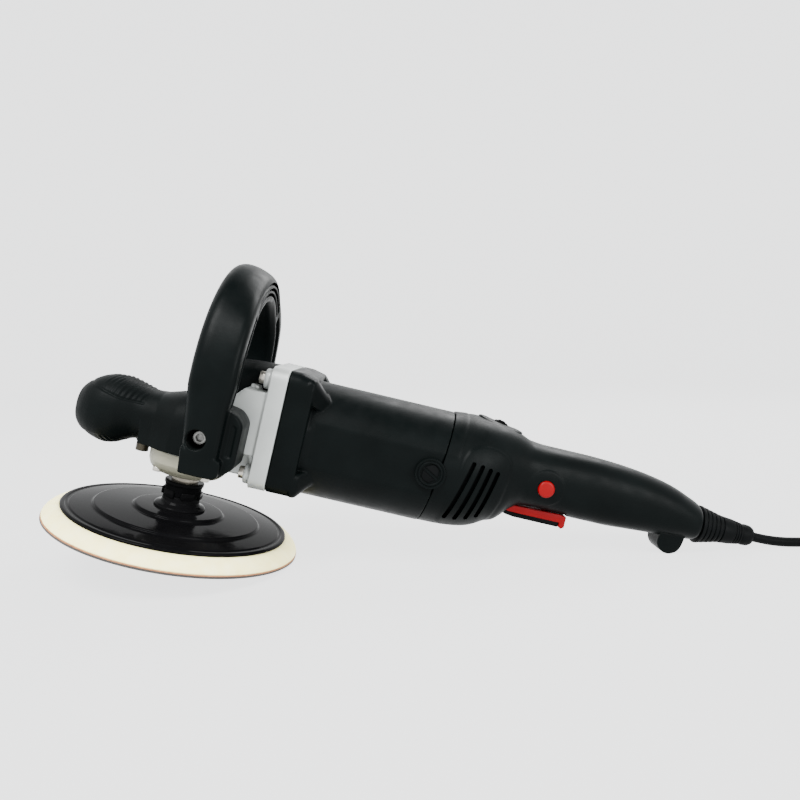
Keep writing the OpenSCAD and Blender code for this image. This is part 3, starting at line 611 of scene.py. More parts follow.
CORD_ROUTE = [
    (254.2, 0, 8.6), (262, 0, 6.6), (270, 0, 5), (279, 0, 3.9), (288, -0.2, 3.5),
    (298, -0.9, 3.5), (309, -2.2, 3.5), (320, -3.9, 3.5), (331, -5.6, 3.5),
    (342, -6.9, 3.5), (354, -7.5, 3.5),
]
TAIL_ROUTE = [
    (354, -7.5, 10.5), (362, -7.2, 10.8), (370, -6.0, 11.4), (379, -3.7, 12.2),
    (388, -1.3, 12.8), (396, 0, 13),
]
PLUG_WAIST = [  # height, half height and half width of each ring
    (7.8, 8.2, 6.6), (9, 10.4, 8.2), (13, 12.5, 9.8), (17.5, 12.5, 10), (18.5, 12.5, 10),
]


def coil_points():
    """Down through the lower layer to its inside, up, and out again through the upper one."""
    out = []
    turns = LOW_TURNS + HIGH_TURNS
    pitch = 2 * CORD_R
    for k in range(1, turns * KNOTS_PER_TURN):
        a = 360 * k / KNOTS_PER_TURN
        inwards = sum(ramp(a, 360 * i + 270, 360 * i + 360) for i in range(LOW_TURNS - 1))
        outwards = sum(ramp(a, 360 * i + 190, 360 * i + 280) for i in range(LOW_TURNS, turns))
        climb = ramp(a, 360 * LOW_TURNS - 130, 360 * LOW_TURNS - 40)
        r = COIL_OUTER - pitch * inwards + pitch * outwards
        x, y = polar(r, 90 - a)
        out.append((COIL_MID[0] + x, COIL_MID[1] + y, FLOOR_Z + climb * (UPPER_Z - FLOOR_Z)))
    return out


def make_cord():
    points = [Vector(p) * MM for p in CORD_ROUTE + coil_points() + TAIL_ROUTE]
    data = bpy.data.curves.new("mains_cord", "CURVE")
    data.dimensions = "3D"
    data.bevel_depth, data.bevel_resolution = CORD_R * MM, 5
    data.use_fill_caps = True
    data.resolution_u = 4
    spline = data.splines.new("BEZIER")
    spline.bezier_points.add(len(points) - 1)
    for knot, p in zip(spline.bezier_points, points):
        knot.co = p
        knot.handle_left_type = knot.handle_right_type = "AUTO"
    obj = add_object("mains_cord", data)
    data.materials.append(LOOKS["cord_rubber"])
    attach(obj, "housing")
    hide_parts("cord", "cord_coil", "cord_tail")
    return obj


def make_plug():
    """A moulded two-pin plug: a ribbed neck, a waist and a rounded block, with bright pins."""
    neck = [(0, 0)]
    for z in (1.6 * i for i in range(5)):
        neck += [(5.4, z), (5.4, z + 0.9), (4.7, z + 0.9), (4.7, z + 1.6)]
    neck += [(5.4, 8.6), (0, 8.6)]
    waist = [[(*p, z) for p in oval(w, h, 2.6, 48)] for z, h, w in PLUG_WAIST]
    block = prism(round_rect(26, 35, 12, 8), 17, 38, 1.6, 5)
    place = along_x(*TAIL_ROUTE[-1])
    shape = put(join(turned_rod(neck, 0.25, 48), loft(waist), block), place)
    plug = solid("plug", shape, ROW)
    dress(plug, "plug_plastic", nodes=["plug_body"])
    pin = turned_rod([(0, 0), (2.4, 0), (2.4, 19), (0, 19)], 1.6, 32, 5)
    pins = join(*[put(pin, place @ at(0, s * 9.5, 38)) for s in (-1, 1)])
    contacts = solid("plug_contacts", pins, ROW)
    dress(contacts, "pin_metal", nodes=["plug_pins"])
    return [plug, contacts]


def make_tie():
    """A strap drawn round every strand of the coil, its free end laid over the top."""
    inner, outer = COIL_INNER - CORD_R - TIE_THICK, COIL_OUTER + CORD_R + TIE_THICK
    band = rounded([(inner, 0), (outer, 0), (outer, 7.5), (outer - 7, 14.8), (inner, 14.8)], 2.6, 5)
    rings = [
        [(x, -TIE_HALF, z), (x, TIE_HALF, z), (u, TIE_HALF, v), (u, -TIE_HALF, v)]
        for (x, z), (u, v) in zip(band, inset(band, TIE_THICK))
    ]
    free_end = put(prism(round_rect(16, 8.2, 1.4), 14.7, 15.5, 0.2), at(inner + 11.5))
    place = at(*COIL_MID) @ turned(TIE_ANGLE, "Z")
    tie = solid("cord_tie", put(join(loft(rings, closed_along=True), free_end), place), ROW)
    return dress(tie, "trigger_rubber")


mains_cord = make_cord()
plug_pieces = make_plug()
cord_tie = make_tie()


# ---- Pad, hub and spindle ----


def make_pad():
    face = [(9, 0), (89.4, 0), (90, 0.5), (90, 1.5), (89.6, 1.9), (9, 1.9)]
    piece("hook_disc", lathe(face, 192), "hook_fabric", "pad_spindle", nodes=["hook_face"])
    backing = [(80, 1.5), (89.8, 1.6), (89.95, 1.9), (89.8, 2.35), (80, 2.4)]
    piece("hook_backing", lathe(backing, 192), "hook_backing", "pad_spindle")
    foam = [
        (9, 2.2), (89.2, 2.2), (89.6, 3.0), (89.4, 4.0), (88.4, 5.6), (86.4, 7.7), (83.6, 9.6),
        (81.2, 10.35), (79.8, 10.5), (9, 10.5),
    ]
    disc = piece("foam_disc", lathe(foam, 192), "foam", "pad_spindle", nodes=["foam_pad"])


def make_plate():
    """The backing plate: a thin rim and three low terraces with soft edges."""
    section = [
        (9, 10.4), (78.2, 10.4), (79.5, 10.9), (79.6, 12.0), (78.6, 12.9), (76.5, 12.9),
        (75.9, 12.4), (74.4, 12.4), (73.6, 13.1), (60.2, 14.0), (58.9, 14.3), (58.5, 15.6),
        (57.6, 16.1), (33.4, 16.8), (32.0, 17.2), (31.5, 18.6), (30.4, 19.1), (20.5, 19.4),
        (9, 19.4),
    ]
    plate = lathe(rounded(section, 0.5, 3), 192)
    piece("backing_disc", plate, "plate_plastic", "pad_spindle", nodes=["backing_plate"])


def make_hub():
    """The threaded hub with six pads for a spanner, and the spindle's collar above it."""
    section = [
        (9.4, 19.2), (18.2, 19.2), (18.2, 20.6), (17.2, 21.6), (14.4, 22.6), (13.2, 24.4),
        (13.2, 27.6), (12.7, 28.0), (12.7, 28.8), (13.2, 29.2), (13.2, 35.9), (14, 36.5),
        (14, 38.7), (13.5, 39.0), (9.4, 39.0),
    ]
    hub = lathe(rounded(section, 0.35, 3), 96)
    pad = prism(round_rect(5.4, 9.5, 1.2, 4), 12.2, 14.0, 0.5)
    pads = [put(pad, turned(a, "Z") @ at(0, 0, 30) @ turned(90, "Y")) for a in range(0, 360, 60)]
    shell = join(hub, *pads)
    piece("pad_hub_shell", shell, "plate_plastic", "pad_spindle", nodes=["pad_hub"], sharp=30)
    collar = [
        (0, 38.6), (9.3, 38.6), (9.5, 38.9), (9.5, 41.2), (9.0, 41.6), (9.0, 42.6), (9.5, 43.0),
        (9.5, 47), (0, 47),
    ]
    end = [(0, 20), (6.0, 20), (7, 21), (7, 38.7), (0, 38.7)]
    shank = join(turned_rod(collar, 0.2), turned_rod(end, 0.3))
    piece("spindle_shank", shank, "steel", "pad_spindle")


make_pad()
make_plate()
make_hub()


# ---- Gear head ----

FLANGE_MID, FLANGE_W, FLANGE_H = 94.75, 86, 84.5
CORNERS = [(sy * 34, FLANGE_MID + sz * 33) for sy in (-1, 1) for sz in (-1, 1)]
CAP_SPOTS = [polar(23.5, a) for a in (45, 135, 225, 315)]
BOX_TOP = 61


def make_gear_housing():
    """The cast head: drum, flanks, lower block and flange with a lobe at each corner."""
    flank = [(4, 57), (28, 57), (43, 75), (51, 75), (51, 119), (35, 119), (24, 107), (4, 104)]
    dome = [(0, BOX_TOP), (30, BOX_TOP), (30, 80), (28, 86), (24, 93), (15, 98.4), (0, 98.4)]
    web = [(44, 76), (50.5, 62), (50.5, 76)]
    flange = [(-z, y) for y, z in reversed(round_rect(FLANGE_W, FLANGE_H, 9, 8))]
    shapes = [
        lathe(dome),
        upright(flank, -42, 42, 1.2),
        put(prism(round_rect(31, 44, 4), 56.5, 77, 1), at(35.5)),
        put(prism(flange, 50, 61.8), at(0, 0, FLANGE_MID - MOTOR_Z) @ along_x()),
    ]
    shapes += [put(drum(7.0, 45.5, 56, 1.2, 32), along_x(0, y, z)) for y, z in CORNERS]
    for side in (-1, 1):
        shapes.append(put(drum(4.6, 0, 6, 1.2, 32), at(40, side * 26, 116)))
        shapes.append(upright_on(side, web, 31, 35, 0.5))
    cuts = [put(drum(2.7, 40, 60, 0.2, 24), along_x(0, y, z)) for y, z in CORNERS]
    cuts.append(drum(28.1, 40, BOX_TOP, 0.1, 96))
    obj = melt("gear_head", join(*shapes), cuts, 0.62, 6)
    dress(obj, "grey_alloy", nodes=["gear_housing"], sharp=180)


def make_bearing_box():
    section = [
        (10.3, 44.1), (19, 44.1), (23.4, 45.6), (26.4, 48.6), (27.9, 52.6), (28, 60.9),
        (10.3, 60.9),
    ]
    box = lathe(rounded(section, 0.8, 3), 128)
    cap = piece("bearing_cap", box, "beige_alloy", nodes=["bearing_box"])
    seat = lathe([(0, 40), (3.9, 40), (3.9, 48.4), (0, 48.4)], 40)
    carve(cap, [put(seat, at(x, y)) for x, y in CAP_SPOTS])
    seal = rounded([(9.7, 45.2), (10.9, 45.2), (10.9, 46.4), (9.7, 46.4)], 0.3, 2)
    piece("spindle_seal", lathe(seal), "trigger_rubber")


def hex_screw(r, head, socket, shank_r, shank):
    """A socket screw on +Z, head at the bottom: its under-head face is at 0."""
    mouth, floor = -head + 0.3, -head * 0.45
    ring = rounded([(socket, -head), (r, -head), (r, 0), (socket, 0)], 0.35, 3)
    outer = [polar(socket + 0.2, 7.5 * k) for k in range(48)]
    off_flat = [math.radians(7.5 * (k % 8) - 30) for k in range(48)]
    inner = [polar(socket * 0.93 / math.cos(off), 7.5 * k) for k, off in enumerate(off_flat)]
    rings = [
        [(*p, z) for p in wall]
        for wall, z in ((outer, mouth), (inner, mouth), (inner, floor), (outer, floor))
    ]
    base = lathe([(0, floor), (socket + 0.1, floor), (socket + 0.1, 0), (0, 0)], 48)
    body = drum(shank_r, 0, shank, 0.2, 32)
    return join(lathe(ring, 48), loft(rings, closed_along=True), base, body)


def screw_set(name, node, look, size, places):
    """Equal screws as one piece."""
    screws = [put(hex_screw(*size), place) for place in places]
    piece(name, join(*screws), look, nodes=[node])


def make_screws():
    flange = [along_x(46.6, y, z) for y, z in CORNERS]
    screw_set("flange_bolts", "flange_screws", "screw_steel", (4.3, 4.6, 2.3, 2.5, 8), flange)
    cap = [at(x, y, 48.5) for x, y in CAP_SPOTS]
    screw_set("cap_screws", "bearing_box_screws", "screw_steel", (3.5, 3.2, 1.7, 1.9, 4), cap)
    cover = [at(COVER_SCREW_X, 0, 59.2)]
    screw_set("grip_screw", "cover_screw", "black_screw", (4.5, 5.8, 2.2, 2, 10), cover)
    loop = [along_y(LOOP_BOLT_X, 61 * s, LOOP_BOLT_Z, -s) for s in (-1, 1)]
    screw_set("loop_bolt_pair", "loop_bolts", "dull_screw", (4.4, 6, 2.4, 3.9, 12), loop)


make_gear_housing()
make_bearing_box()
make_screws()


# ---- Hood and palm grip ----

GRIP = [  # x, underside, top, half width
    (-84, 70, 84, 6), (-83.4, 67, 88, 10), (-82.2, 64.5, 91, 13.5), (-80.2, 62, 93.5, 16),
    (-75.4, 58.5, 98, 20.5), (-68.8, 55.5, 101.7, 24), (-61.5, 54, 103.7, 25.5),
    (-54, 55.6, 103.9, 25.5), (-47, 59, 102.6, 24), (-39.8, 61.6, 100.6, 22.5),
    (-31, 62.5, 98.5, 23.5), (-24, 62.5, 99, 25),
]
HOOD = [  # the same
    (-33, 62.6, 98.4, 23.4), (-31, 62.5, 98.5, 23.5), (-25, 62.2, 99, 25), (-18, 62, 101, 28.5),
    (-10, 62, 103.5, 32), (0, 62, 107.5, 33.6), (3.2, 62, 109.5, 33.6), (3.8, 104.2, 110, 33.6),
    (10, 105.2, 114, 33), (14, 105.8, 121, 32), (18, 106.4, 130, 31), (24, 107.3, 135, 30),
    (35, 118.8, 136, 28.5), (49.8, 118.8, 136.5, 28),
]
RIB_PITCH = 3.2
UPPER_DEPTH, LOWER_DEPTH, SEAM_DEPTH = 0.2, 0.45, 0.75


def arch(x, foot, top, w):
    """An outline across +X: straight sides under a dome."""
    spring = foot + (top - foot) * 0.35
    dome = [super_point(w, top - spring, 2.6, 4.5 * k) for k in range(41)]
    return [(x, w, foot)] + [(x, y, spring + z) for y, z in dome] + [(x, -w, foot)]


def grip_texture(points):
    """Sunk patches above and below the bulb, ribbed across where the hand sits."""
    x, y, z = points.T
    edge = 90 + 6.5 * ramp(-x, 44, 82)
    inner = ramp(x, -80, -78.6) * ramp(-x, 33.5, 35)
    upper = ramp(z, edge, edge + 0.9) * inner
    lower = ramp(-z, -61.5, -60.6) * inner * ramp(-x, 44, 46)
    wave = 0.5 + 0.5 * np.sin(2 * math.pi * (x * 0.93 + 0.36 * np.abs(y)) / RIB_PITCH)
    ribs = ramp(wave, 0.15, 0.85) * ramp(x, -68, -50)
    seam = np.exp(-(((z - edge) / 0.85) ** 2)) * inner
    middle = np.stack([np.clip(x, -62, 0), y * 0, np.full_like(z, 79)], axis=1)
    away = points - middle
    away /= np.linalg.norm(away, axis=1)[:, None]
    depth = upper * (0.52 * ribs - UPPER_DEPTH) + lower * (0.75 * ribs - LOWER_DEPTH)
    depth -= SEAM_DEPTH * seam
    return points + away * depth[:, None]


def make_head_cover():
    grip = []
    for x in [-84, -83.7, -83.2, -82.4, -81.2] + list(np.arange(-80, -23, 2.0)):
        low, high, w = interpolate(GRIP, x)
        ring = oval(w, (high - low) / 2, 2.2)
        grip.append([(x, y, (low + high) / 2 + z) for y, z in ring])
    hood = [arch(*station) for station in HOOD]
    boss = put(drum(5, 59.8, 68, 0.6, 32), at(COVER_SCREW_X))
    hole = put(drum(2.2, 50, 64, 0.2, 24), at(COVER_SCREW_X))
    shape = join(loft(grip), loft(hood), boss)
    obj = melt("head_cover_shell", shape, [hole], 0.6, 6, grip_texture)
    dress(obj, "grip_plastic", nodes=["head_cover"], sharp=180)


make_head_cover()


# ---- Loop handle ----

LOOP_R, LOOP_Z, LIMB_X, FOOT_Z = 66, 123, 18.7, 61.5
LIMB_HALF = 14.5
CROWN_DROP = 6.5
LIMB = [  # outwards, along X, and the corner's radius
    (12, -14.5, 10), (12, 14.5, 9), (1.8, 14.5, 0.5), (1.5, 11.8, 0.6), (-6.6, 11.8, 0.6),
    (-6.8, 13.6, 0.5), (-9.2, 13.6, 0.9), (-12, 10, 2.5), (-12, -14.5, 7),
]
EAR = [(10, 61.5), (35, 61.5), (43.8, 70), (43.8, 98), (38, 104.5), (28, 106.5), (8, 106.5)]
FOOT = [(11, 61.5), (33, 61.5), (36, 64), (36, 73.5), (21, 79), (15.5, 76.5), (9.6, 79)]
EAR_RECESS = [(36.8, 76), (40.6, 76), (40.6, 96), (36.8, 98)]


def limb_section():
    """The limb's section: round outside, with a ledge and a channel behind."""
    out = []
    for i, (u, v, radius) in enumerate(LIMB):
        before, after = LIMB[i - 1][:2], LIMB[(i + 1) % len(LIMB)][:2]
        out += corner_curve(before, (u, v), after, radius, 10 if radius > 2 else 3, 0.49)
    return out


def limb_taper(z):
    """How far the limb's front edge has moved back at a height."""
    return float(np.interp(z, [FOOT_Z, 84, 118], [6.4, 4.2, 0]))


def round_crown(points):
    """Rounds the crown's rear edge over, and lets the limbs' rear edges stand a little back."""
    x, y, z = points.T
    up = np.maximum(z - LOOP_Z, 0)
    r = np.hypot(y, up)
    crown = ramp(np.degrees(np.arctan2(up, np.abs(y))), 25, 60)
    back = np.clip((x - LIMB_X + 6) / 20.5, 0, 1) ** 2
    outer = np.clip((r - LOOP_R + 12) / 24, 0, 1)
    k = 1 - np.where(up > 0, crown * back * outer * CROWN_DROP / np.maximum(r, 1), 0)
    above = z > LOOP_Z
    y = np.where(above, y * k, y)
    z = np.where(above, LOOP_Z + up * k, z)
    limb = np.clip((x - LIMB_X + 4) / 18, 0, 1) * (1 - crown) * np.clip((z - 106) / 14, 0, 1)
    return np.column_stack((x + 1.4 * limb, y, z))


def arc_bar(r_in, r_out, low, high, start, end):
    """A bar of rectangular section bent round the loop's crown, between two angles."""
    section = [(r_in, low), (r_out, low), (r_out, high), (r_in, high)]
    rings = []
    for a in map(math.radians, np.linspace(start, end, 60)):
        c, s = math.cos(a), math.sin(a)
        rings.append([(LIMB_X + u, v * c, LOOP_Z + v * s) for v, u in section])
    return loft(rings)


def loop_path():
    """The limb's middle as (y, z) and the way outwards there: up one limb and down the other."""
    path = [(-LOOP_R, z, -1.0, 0.0) for z in np.linspace(FOOT_Z, LOOP_Z - 3, 24)]
    for a in np.linspace(0, math.pi, 97):
        c, s = math.cos(a), math.sin(a)
        path.append((-LOOP_R * c, LOOP_Z + LOOP_R * s, -c, s))
    return path + [(LOOP_R, z, 1.0, 0.0) for z in np.linspace(LOOP_Z - 3, FOOT_Z, 24)]


def make_loop():
    """The loop is swept down both limbs; each limb ends in a foot with an ear behind it."""
    section = limb_section()
    rings = []
    for y, z, out_y, out_z in loop_path():
        back = limb_taper(z)
        rings.append([
            (LIMB_X + u + back * (LIMB_HALF - u) / (2 * LIMB_HALF), y + v * out_y, z + v * out_z)
            for v, u in section
        ])
    shapes, cuts = [loft(rings)], []
    for s in (-1, 1):
        shapes.append(upright_on(s, rounded(EAR, 3.0, 5), 42, 71.5, 2.0, 4))
        shapes.append(upright_on(s, rounded(FOOT, 1.2, 3), 60, 77.9, 1.4, 4))
        cuts.append(put(drum(6.4, 62, 90, 0.1, 48), along_y(LOOP_BOLT_X, 0, LOOP_BOLT_Z, s)))
        cuts.append(upright_on(s, rounded(EAR_RECESS, 1.2, 3), 70.4, 74, 0.1))
    shapes.append(arc_bar(58.4, 68.2, 6, 13.9, 44, 136))
    cuts += [arc_bar(r, r + 3.0, 8.0, 16.5, 50, 130) for r in (71.6, 66.4, 61.2)]
    obj = melt("loop_grip", join(*shapes), cuts, 0.62, 4, round_crown)
    dress(obj, "black_plastic", nodes=["loop_handle"], sharp=180)


make_loop()


# ---- Motor housing ----

MOTOR_R, MOTOR_FLAT = 41, 38.2
SEAM_X, SEAM_TILT = 174, 7
SEAM_LEAN = math.tan(math.radians(SEAM_TILT))
BRUSH_X = 168
TOP_FALL = 0.05  # how much lower the front block's top is at its back, as a share
BRUSH_SEAT = [
    (0, 30), (10.4, 30), (10.4, 42.4), (9.2, 42.4), (9.0, 41.7), (8.4, 41.7), (8.2, 42.3),
    (7.2, 42.3), (6.9, 41.8), (6.9, 40.5), (0, 40.5),
]
CAP_WING = [(0.9, -5.6), (5.6, -3.2), (6.5, 0), (5.6, 3.2), (0.9, 5.6)]


def motor_tube():
    """The tube, with a flat on each side behind the front block."""
    rings = []
    for x in np.arange(61.9, 180, 2.0):
        flat = MOTOR_FLAT + 2.8 * (1 - min(1, max(0, (x - 80) / 5)))
        ring = [polar(MOTOR_R, 2.5 * k) for k in range(144)]
        rings.append([(x, math.copysign(min(abs(y), flat), y), MOTOR_Z + z) for y, z in ring])
    return loft(rings)


def front_block():
    """The square block behind the flange."""
    outline = round_rect(FLANGE_W, FLANGE_H, 9, 8)
    stations = (62, 0.7, 0), (62.7, 0, 0), (70, 0, 0), (79.3, 0, TOP_FALL), (80, 0.7, TOP_FALL)
    return loft([
        [(x, y, FLANGE_MID + z * (1 - fall if z > 0 else 1)) for y, z in inset(outline, k)]
        for x, k, fall in stations
    ])


def corner_tip(y, z):
    """A boss that runs back from a corner of the block and slips inwards to the tube."""
    up, out = (1 if z > FLANGE_MID else -1), (1 if y > 0 else -1)
    back, sunk = (0, FLANGE_H / 2 * TOP_FALL) if up > 0 else (2.5, 0)
    outline = round_rect(17.8, 18.2, 5, 5)
    rings = []
    for x, k, slip in ((76, 0.98, 0), (79, 0.98, 0.1), (80.5, 0.96, 0.8), (95, 0.6, 13)):
        mid_y, mid_z = y - out * slip, z - up * slip - sunk
        rings.append([(x + back, mid_y + dy * k, mid_z + dz * k) for dy, dz in outline])
    return loft(rings)


def make_motor_housing():
    """The field case: a square front block that runs into a tube, cut along the leaning seam."""
    shapes = [motor_tube(), front_block(), *(corner_tip(y, z) for y, z in CORNERS)]
    slab = prism([(0, -60), (60, -60), (60, 60), (0, 60)], -80, 80, 0.1)
    rear = put(slab, at(SEAM_X - 0.25, 0, MOTOR_Z) @ turned(SEAM_TILT, "Y"))
    case = melt("motor_case", join(*shapes), [rear], 0.66, 4)
    dress(case, "black_plastic", nodes=["motor_housing"], sharp=180)


def make_brush_caps():
    """A stepped ring on each side, and a cap with a coin slot in it."""
    seat = turned_rod(BRUSH_SEAT, 0.25)
    wing = prism(rounded(CAP_WING, 0.5, 2), 36.5, 41.2, 0.4)
    rings, caps = [], []
    for place in (along_y(BRUSH_X, 0, MOTOR_Z, s) for s in (-1, 1)):
        rings.append(put(seat, place))
        caps += [put(wing, place @ turned(a + 60, "Z")) for a in (0, 180)]
        caps.append(put(drum(6.6, 36.5, 39.6, 0.3, 48), place))
    piece("brush_rings", join(*rings), "black_plastic", sharp=40)
    piece("brush_cap_pair", join(*caps), "trigger_rubber", nodes=["brush_caps"])


make_motor_housing()
make_brush_caps()


# ---- Rear handle ----

SHELL = [  # x, underside, top, half width, squareness
    (174, 50.4, 132.2, 41, 2.0), (184, 50.6, 133.2, 41, 2.0), (192, 51.6, 133.8, 40.6, 2.05),
    (200, 53.2, 133.7, 39.4, 2.1), (207, 56, 133.1, 37.5, 2.15), (214, 60, 132.2, 35, 2.2),
    (221, 62.5, 130.8, 32, 2.25), (225, 66, 129.6, 30.2, 2.3), (230, 72, 127.8, 28, 2.35),
    (238, 77.4, 124.8, 25.6, 2.4), (250, 78, 123.7, 24, 2.45), (265, 77.6, 123.7, 22.8, 2.45),
    (280, 77, 123.7, 22, 2.45), (300, 77, 123, 21.4, 2.4), (318, 78, 121.4, 21, 2.4),
    (334, 79, 119, 20.6, 2.35), (348, 79.8, 115.6, 20.2, 2.3), (358, 80.6, 111.8, 19.4, 2.25),
    (366, 81, 108.4, 18.1, 2.2), (368, 81.8, 106.8, 17.2, 2.2),
]
SHELL_T = 2.6
HEEL_X, HEEL_Z, HEEL_R = 351, 77.27, 9.0
DOME = [  # the outline of the raised side with the vents
    (180.5, 56), (188.2, 106), (190.6, 111.5), (196, 115.4), (203, 117.2), (211, 116.4),
    (218, 113.6), (222, 109.4), (223.2, 104), (222.4, 94), (220.6, 80), (217, 66), (206, 52),
    (190, 48),
]
VENTS = [  # top and foot of each slot
    ((195.9, 105.2), (185.0, 60.5)), ((202.2, 104.4), (192.3, 61.0)),
    ((208.2, 103.2), (199.6, 63.0)), ((213.8, 101.8), (206.5, 66.0)),
]
VENT_W = 3.1
SCREWS = [(288, 89, 15), (288, 110, 15), (330, 91, 15), (219, 115.5, 26.5)]
BUTTON_X, BUTTON_Z, BUTTON_R = 251, 96, 6
TRIGGER_HALF = 11
PIVOT_X, PIVOT_Z = 229, 81
DIAL = at(213, 0, 131.2) @ turned(10, "Y")
BEZEL_HALF_X, BEZEL_HALF_Y, SHELL_ROUND = 17.2, 13.2, 36.0


def inside_depth(points, outline):
    """Depth of each point inside a convex outline that runs clockwise, negative outside."""
    best = np.full(len(points), 1e9)
    for a, b in zip(outline, outline[1:] + outline[:1]):
        x, z = np.array(b, float) - np.array(a, float)
        inwards = np.array((z, -x)) / np.linalg.norm((x, z))
        best = np.minimum(best, (points - np.array(a, float)) @ inwards)
    return best


def shell_relief(x, y, z):
    """Raises the vents' dome, the seam's band and the button's pad, and adds the heel."""
    raised = 0.8 * ramp(inside_depth(np.stack([x, z], axis=1), DOME), -0.2, 1.2) * ramp(y, 10, 18)
    seam = x - SEAM_LEAN * (z - MOTOR_Z)
    raised += 0.45 * ramp(-seam, -183.4, -182.4) * ramp(z, 104, 106)
    pad = np.hypot(x - BUTTON_X, z - BUTTON_Z)
    raised += 0.5 * ramp(-pad, -13.6, -12.6) * ramp(y, 8, 12)
    out = np.stack([0 * y, y, z - 92], axis=1)
    out /= np.linalg.norm(out, axis=1)[:, None]
    y = y + raised * out[:, 1]
    z = z + raised * out[:, 2]
    reach = np.clip(HEEL_R**2 - (x - HEEL_X) ** 2, 0, None)
    heel = HEEL_Z - np.sqrt(reach)
    blend = ramp(-y, -13.2, -9.8) * (reach > 0) * (z < 92)
    return y, z - blend * np.clip(z - heel, 0, 14) * ramp(-z, -92, -84)


def shell_grid(side, inset_by, xs):
    """Points of a half shell's skin, from its underside round to its top."""
    rows = []
    for x in xs:
        low, high, w, e = interpolate(SHELL, x)
        lean = SEAM_LEAN * max(0, 1 - (x - SEAM_X) / 30)
        mid = (low + high) / 2
        row = []
        for k in range(97):
            y, z = super_point(w - inset_by, (high - low) / 2 - inset_by, e, 1.875 * k - 90)
            row.append((x + lean * (mid + z - MOTOR_Z), max(abs(y), 0.1), mid + z))
        rows.append(row)
    grid = np.array(rows)
    x, y, z = (grid[..., i].ravel() for i in range(3))
    if inset_by == 0:
        y, z = shell_relief(x, y, z)
    return np.stack([x, y * side, z], axis=1).reshape(grid.shape)


def half_shell(side):
    """One half of the handle: an outer and an inner skin, joined along the open edges."""
    xs = np.concatenate([
        np.arange(SEAM_X + 0.25, 340), np.arange(340, 341.9, 0.5),
        np.arange(341.9, 342.6, 0.1), np.arange(343, 359.2, 0.8), np.arange(359.4, 360.2, 0.1),
        np.arange(360.5, 367.9, 0.8), [367.9],
    ])
    outer, inner = shell_grid(side, 0, xs), shell_grid(side, SHELL_T, xs)
    rows, n = outer.shape[:2]
    points = [tuple(p) for p in outer.reshape(-1, 3)] + [tuple(p) for p in inner.reshape(-1, 3)]
    back = rows * n
    faces = []
    for first in range(0, back - n, n):
        for a in range(first, first + n - 1):
            faces.append([a, a + n, a + n + 1, a + 1])
            faces.append([back + a, back + a + 1, back + a + n + 1, back + a + n])
        faces += [[a, back + a, back + a + n, a + n] for a in (first, first + n - 1)]
    for first in (0, back - n):
        faces += [[a, a + 1, back + a + 1, back + a] for a in range(first, first + n - 1)]
    return points, faces


def slot_outline(top, foot):
    """A vent's outline: a slot with round ends between two points."""
    a, b = Vector(top), Vector(foot)
    r = VENT_W / 2
    along = (a - b).normalized()
    across = Vector((-along.y, along.x)) * VENT_W / 2
    out = []
    for centre, first in ((a - along * r, 0), (b + along * r, 180)):
        for k in range(9):
            turn = math.radians(first + 180 * k / 8)
            out.append(tuple(centre - across * math.cos(turn) + along * r * math.sin(turn)))
    return out


def shell_cuts(side):
    """Vents, the openings for trigger, dial, cord and brushes, and the button or the screws."""
    cuts = [upright_on(side, slot_outline(top, foot), 14, 48, 0.1) for top, foot in VENTS]
    mouth = rounded([(222.5, 58), (274.9, 58), (274.9, 84), (222.5, 84)], 1.5, 3)
    cuts.append(upright(mouth, -TRIGGER_HALF - 0.5, TRIGGER_HALF + 0.5, 0.1))
    cuts.append(put(prism(round_rect(32.5, 17.5, 8, 8), -7, 13, 0.1), DIAL))
    cuts.append(put(drum(11.2, 0, 30, 0.1, 64), along_x(360, 0, RELIEF_Z)))
    cuts.append(put(drum(10.7, 20, 60, 0.1, 64), along_y(BRUSH_X, 0, MOTOR_Z, side)))
    if side < 0:
        hole = drum(BUTTON_R + 0.3, 12, 50, 0.1, 48)
        return [*cuts, put(hole, along_y(BUTTON_X, 0, BUTTON_Z, -1))]
    return cuts + [
        put(drum(3.4, depth - 3, 60, 0.1, 32), along_y(x, 0, z, 1)) for x, z, depth in SCREWS
    ]


def make_shells():
    for side, view, node in ((-1, "near", "handle_shell_left"), (1, "far", "handle_shell_right")):
        obj = solid("handle_half_" + view, half_shell(side))
        carve(obj, shell_cuts(side))
        dress(obj, "black_plastic", nodes=[node], sharp=38)


def make_vent_shade_sheet():
    """A dark liner inside the shells, which closes the view through the vents: painted shade that stands in for
    the shaded inside behind them.
    """
    rings = []
    for x in np.arange(168, 226, 2.0):
        low, high, w, e = interpolate(SHELL, max(174, x))
        ring = oval(w - 4.4, (high - low) / 2 - 4.4, e)
        rings.append([(x, y, (low + high) / 2 + z) for y, z in ring])
    piece("vent_shade_sheet", loft(rings), "trigger_rubber", sharp=60)


def make_relief():
    """The strain relief: wide rings, a plain waist, fine rings and a round knob."""
    section = [(3.7, 361), (11, 361), (11, 370.6)]
    for i in range(5):
        x, r = 371 + 3.5 * i, 13.9 - 0.85 * i
        section += [(r, x), (r - 0.3, x + 2.3), (r - 1.6, x + 2.35), (r - 1.7, x + 3.5)]
    section += [(9.9, 388.6), (9.2, 396)]
    for i in range(4):
        x, r = 396.3 + 1.9 * i, 9.1 - 0.35 * i
        section += [(r, x), (r - 0.1, x + 1.2), (r - 0.9, x + 1.25), (r - 0.9, x + 1.9)]
    section += [(7.3, 404), (7.8, 406.5), (7.5, 410), (6.2, 412.3), (4.2, 413), (3.7, 413)]
    relief = put(lathe(rounded(section, 0.35, 3), 96), along_x(0, 0, RELIEF_Z))
    piece("cord_sleeve", relief, "cord_rubber", nodes=["strain_relief"], sharp=40)


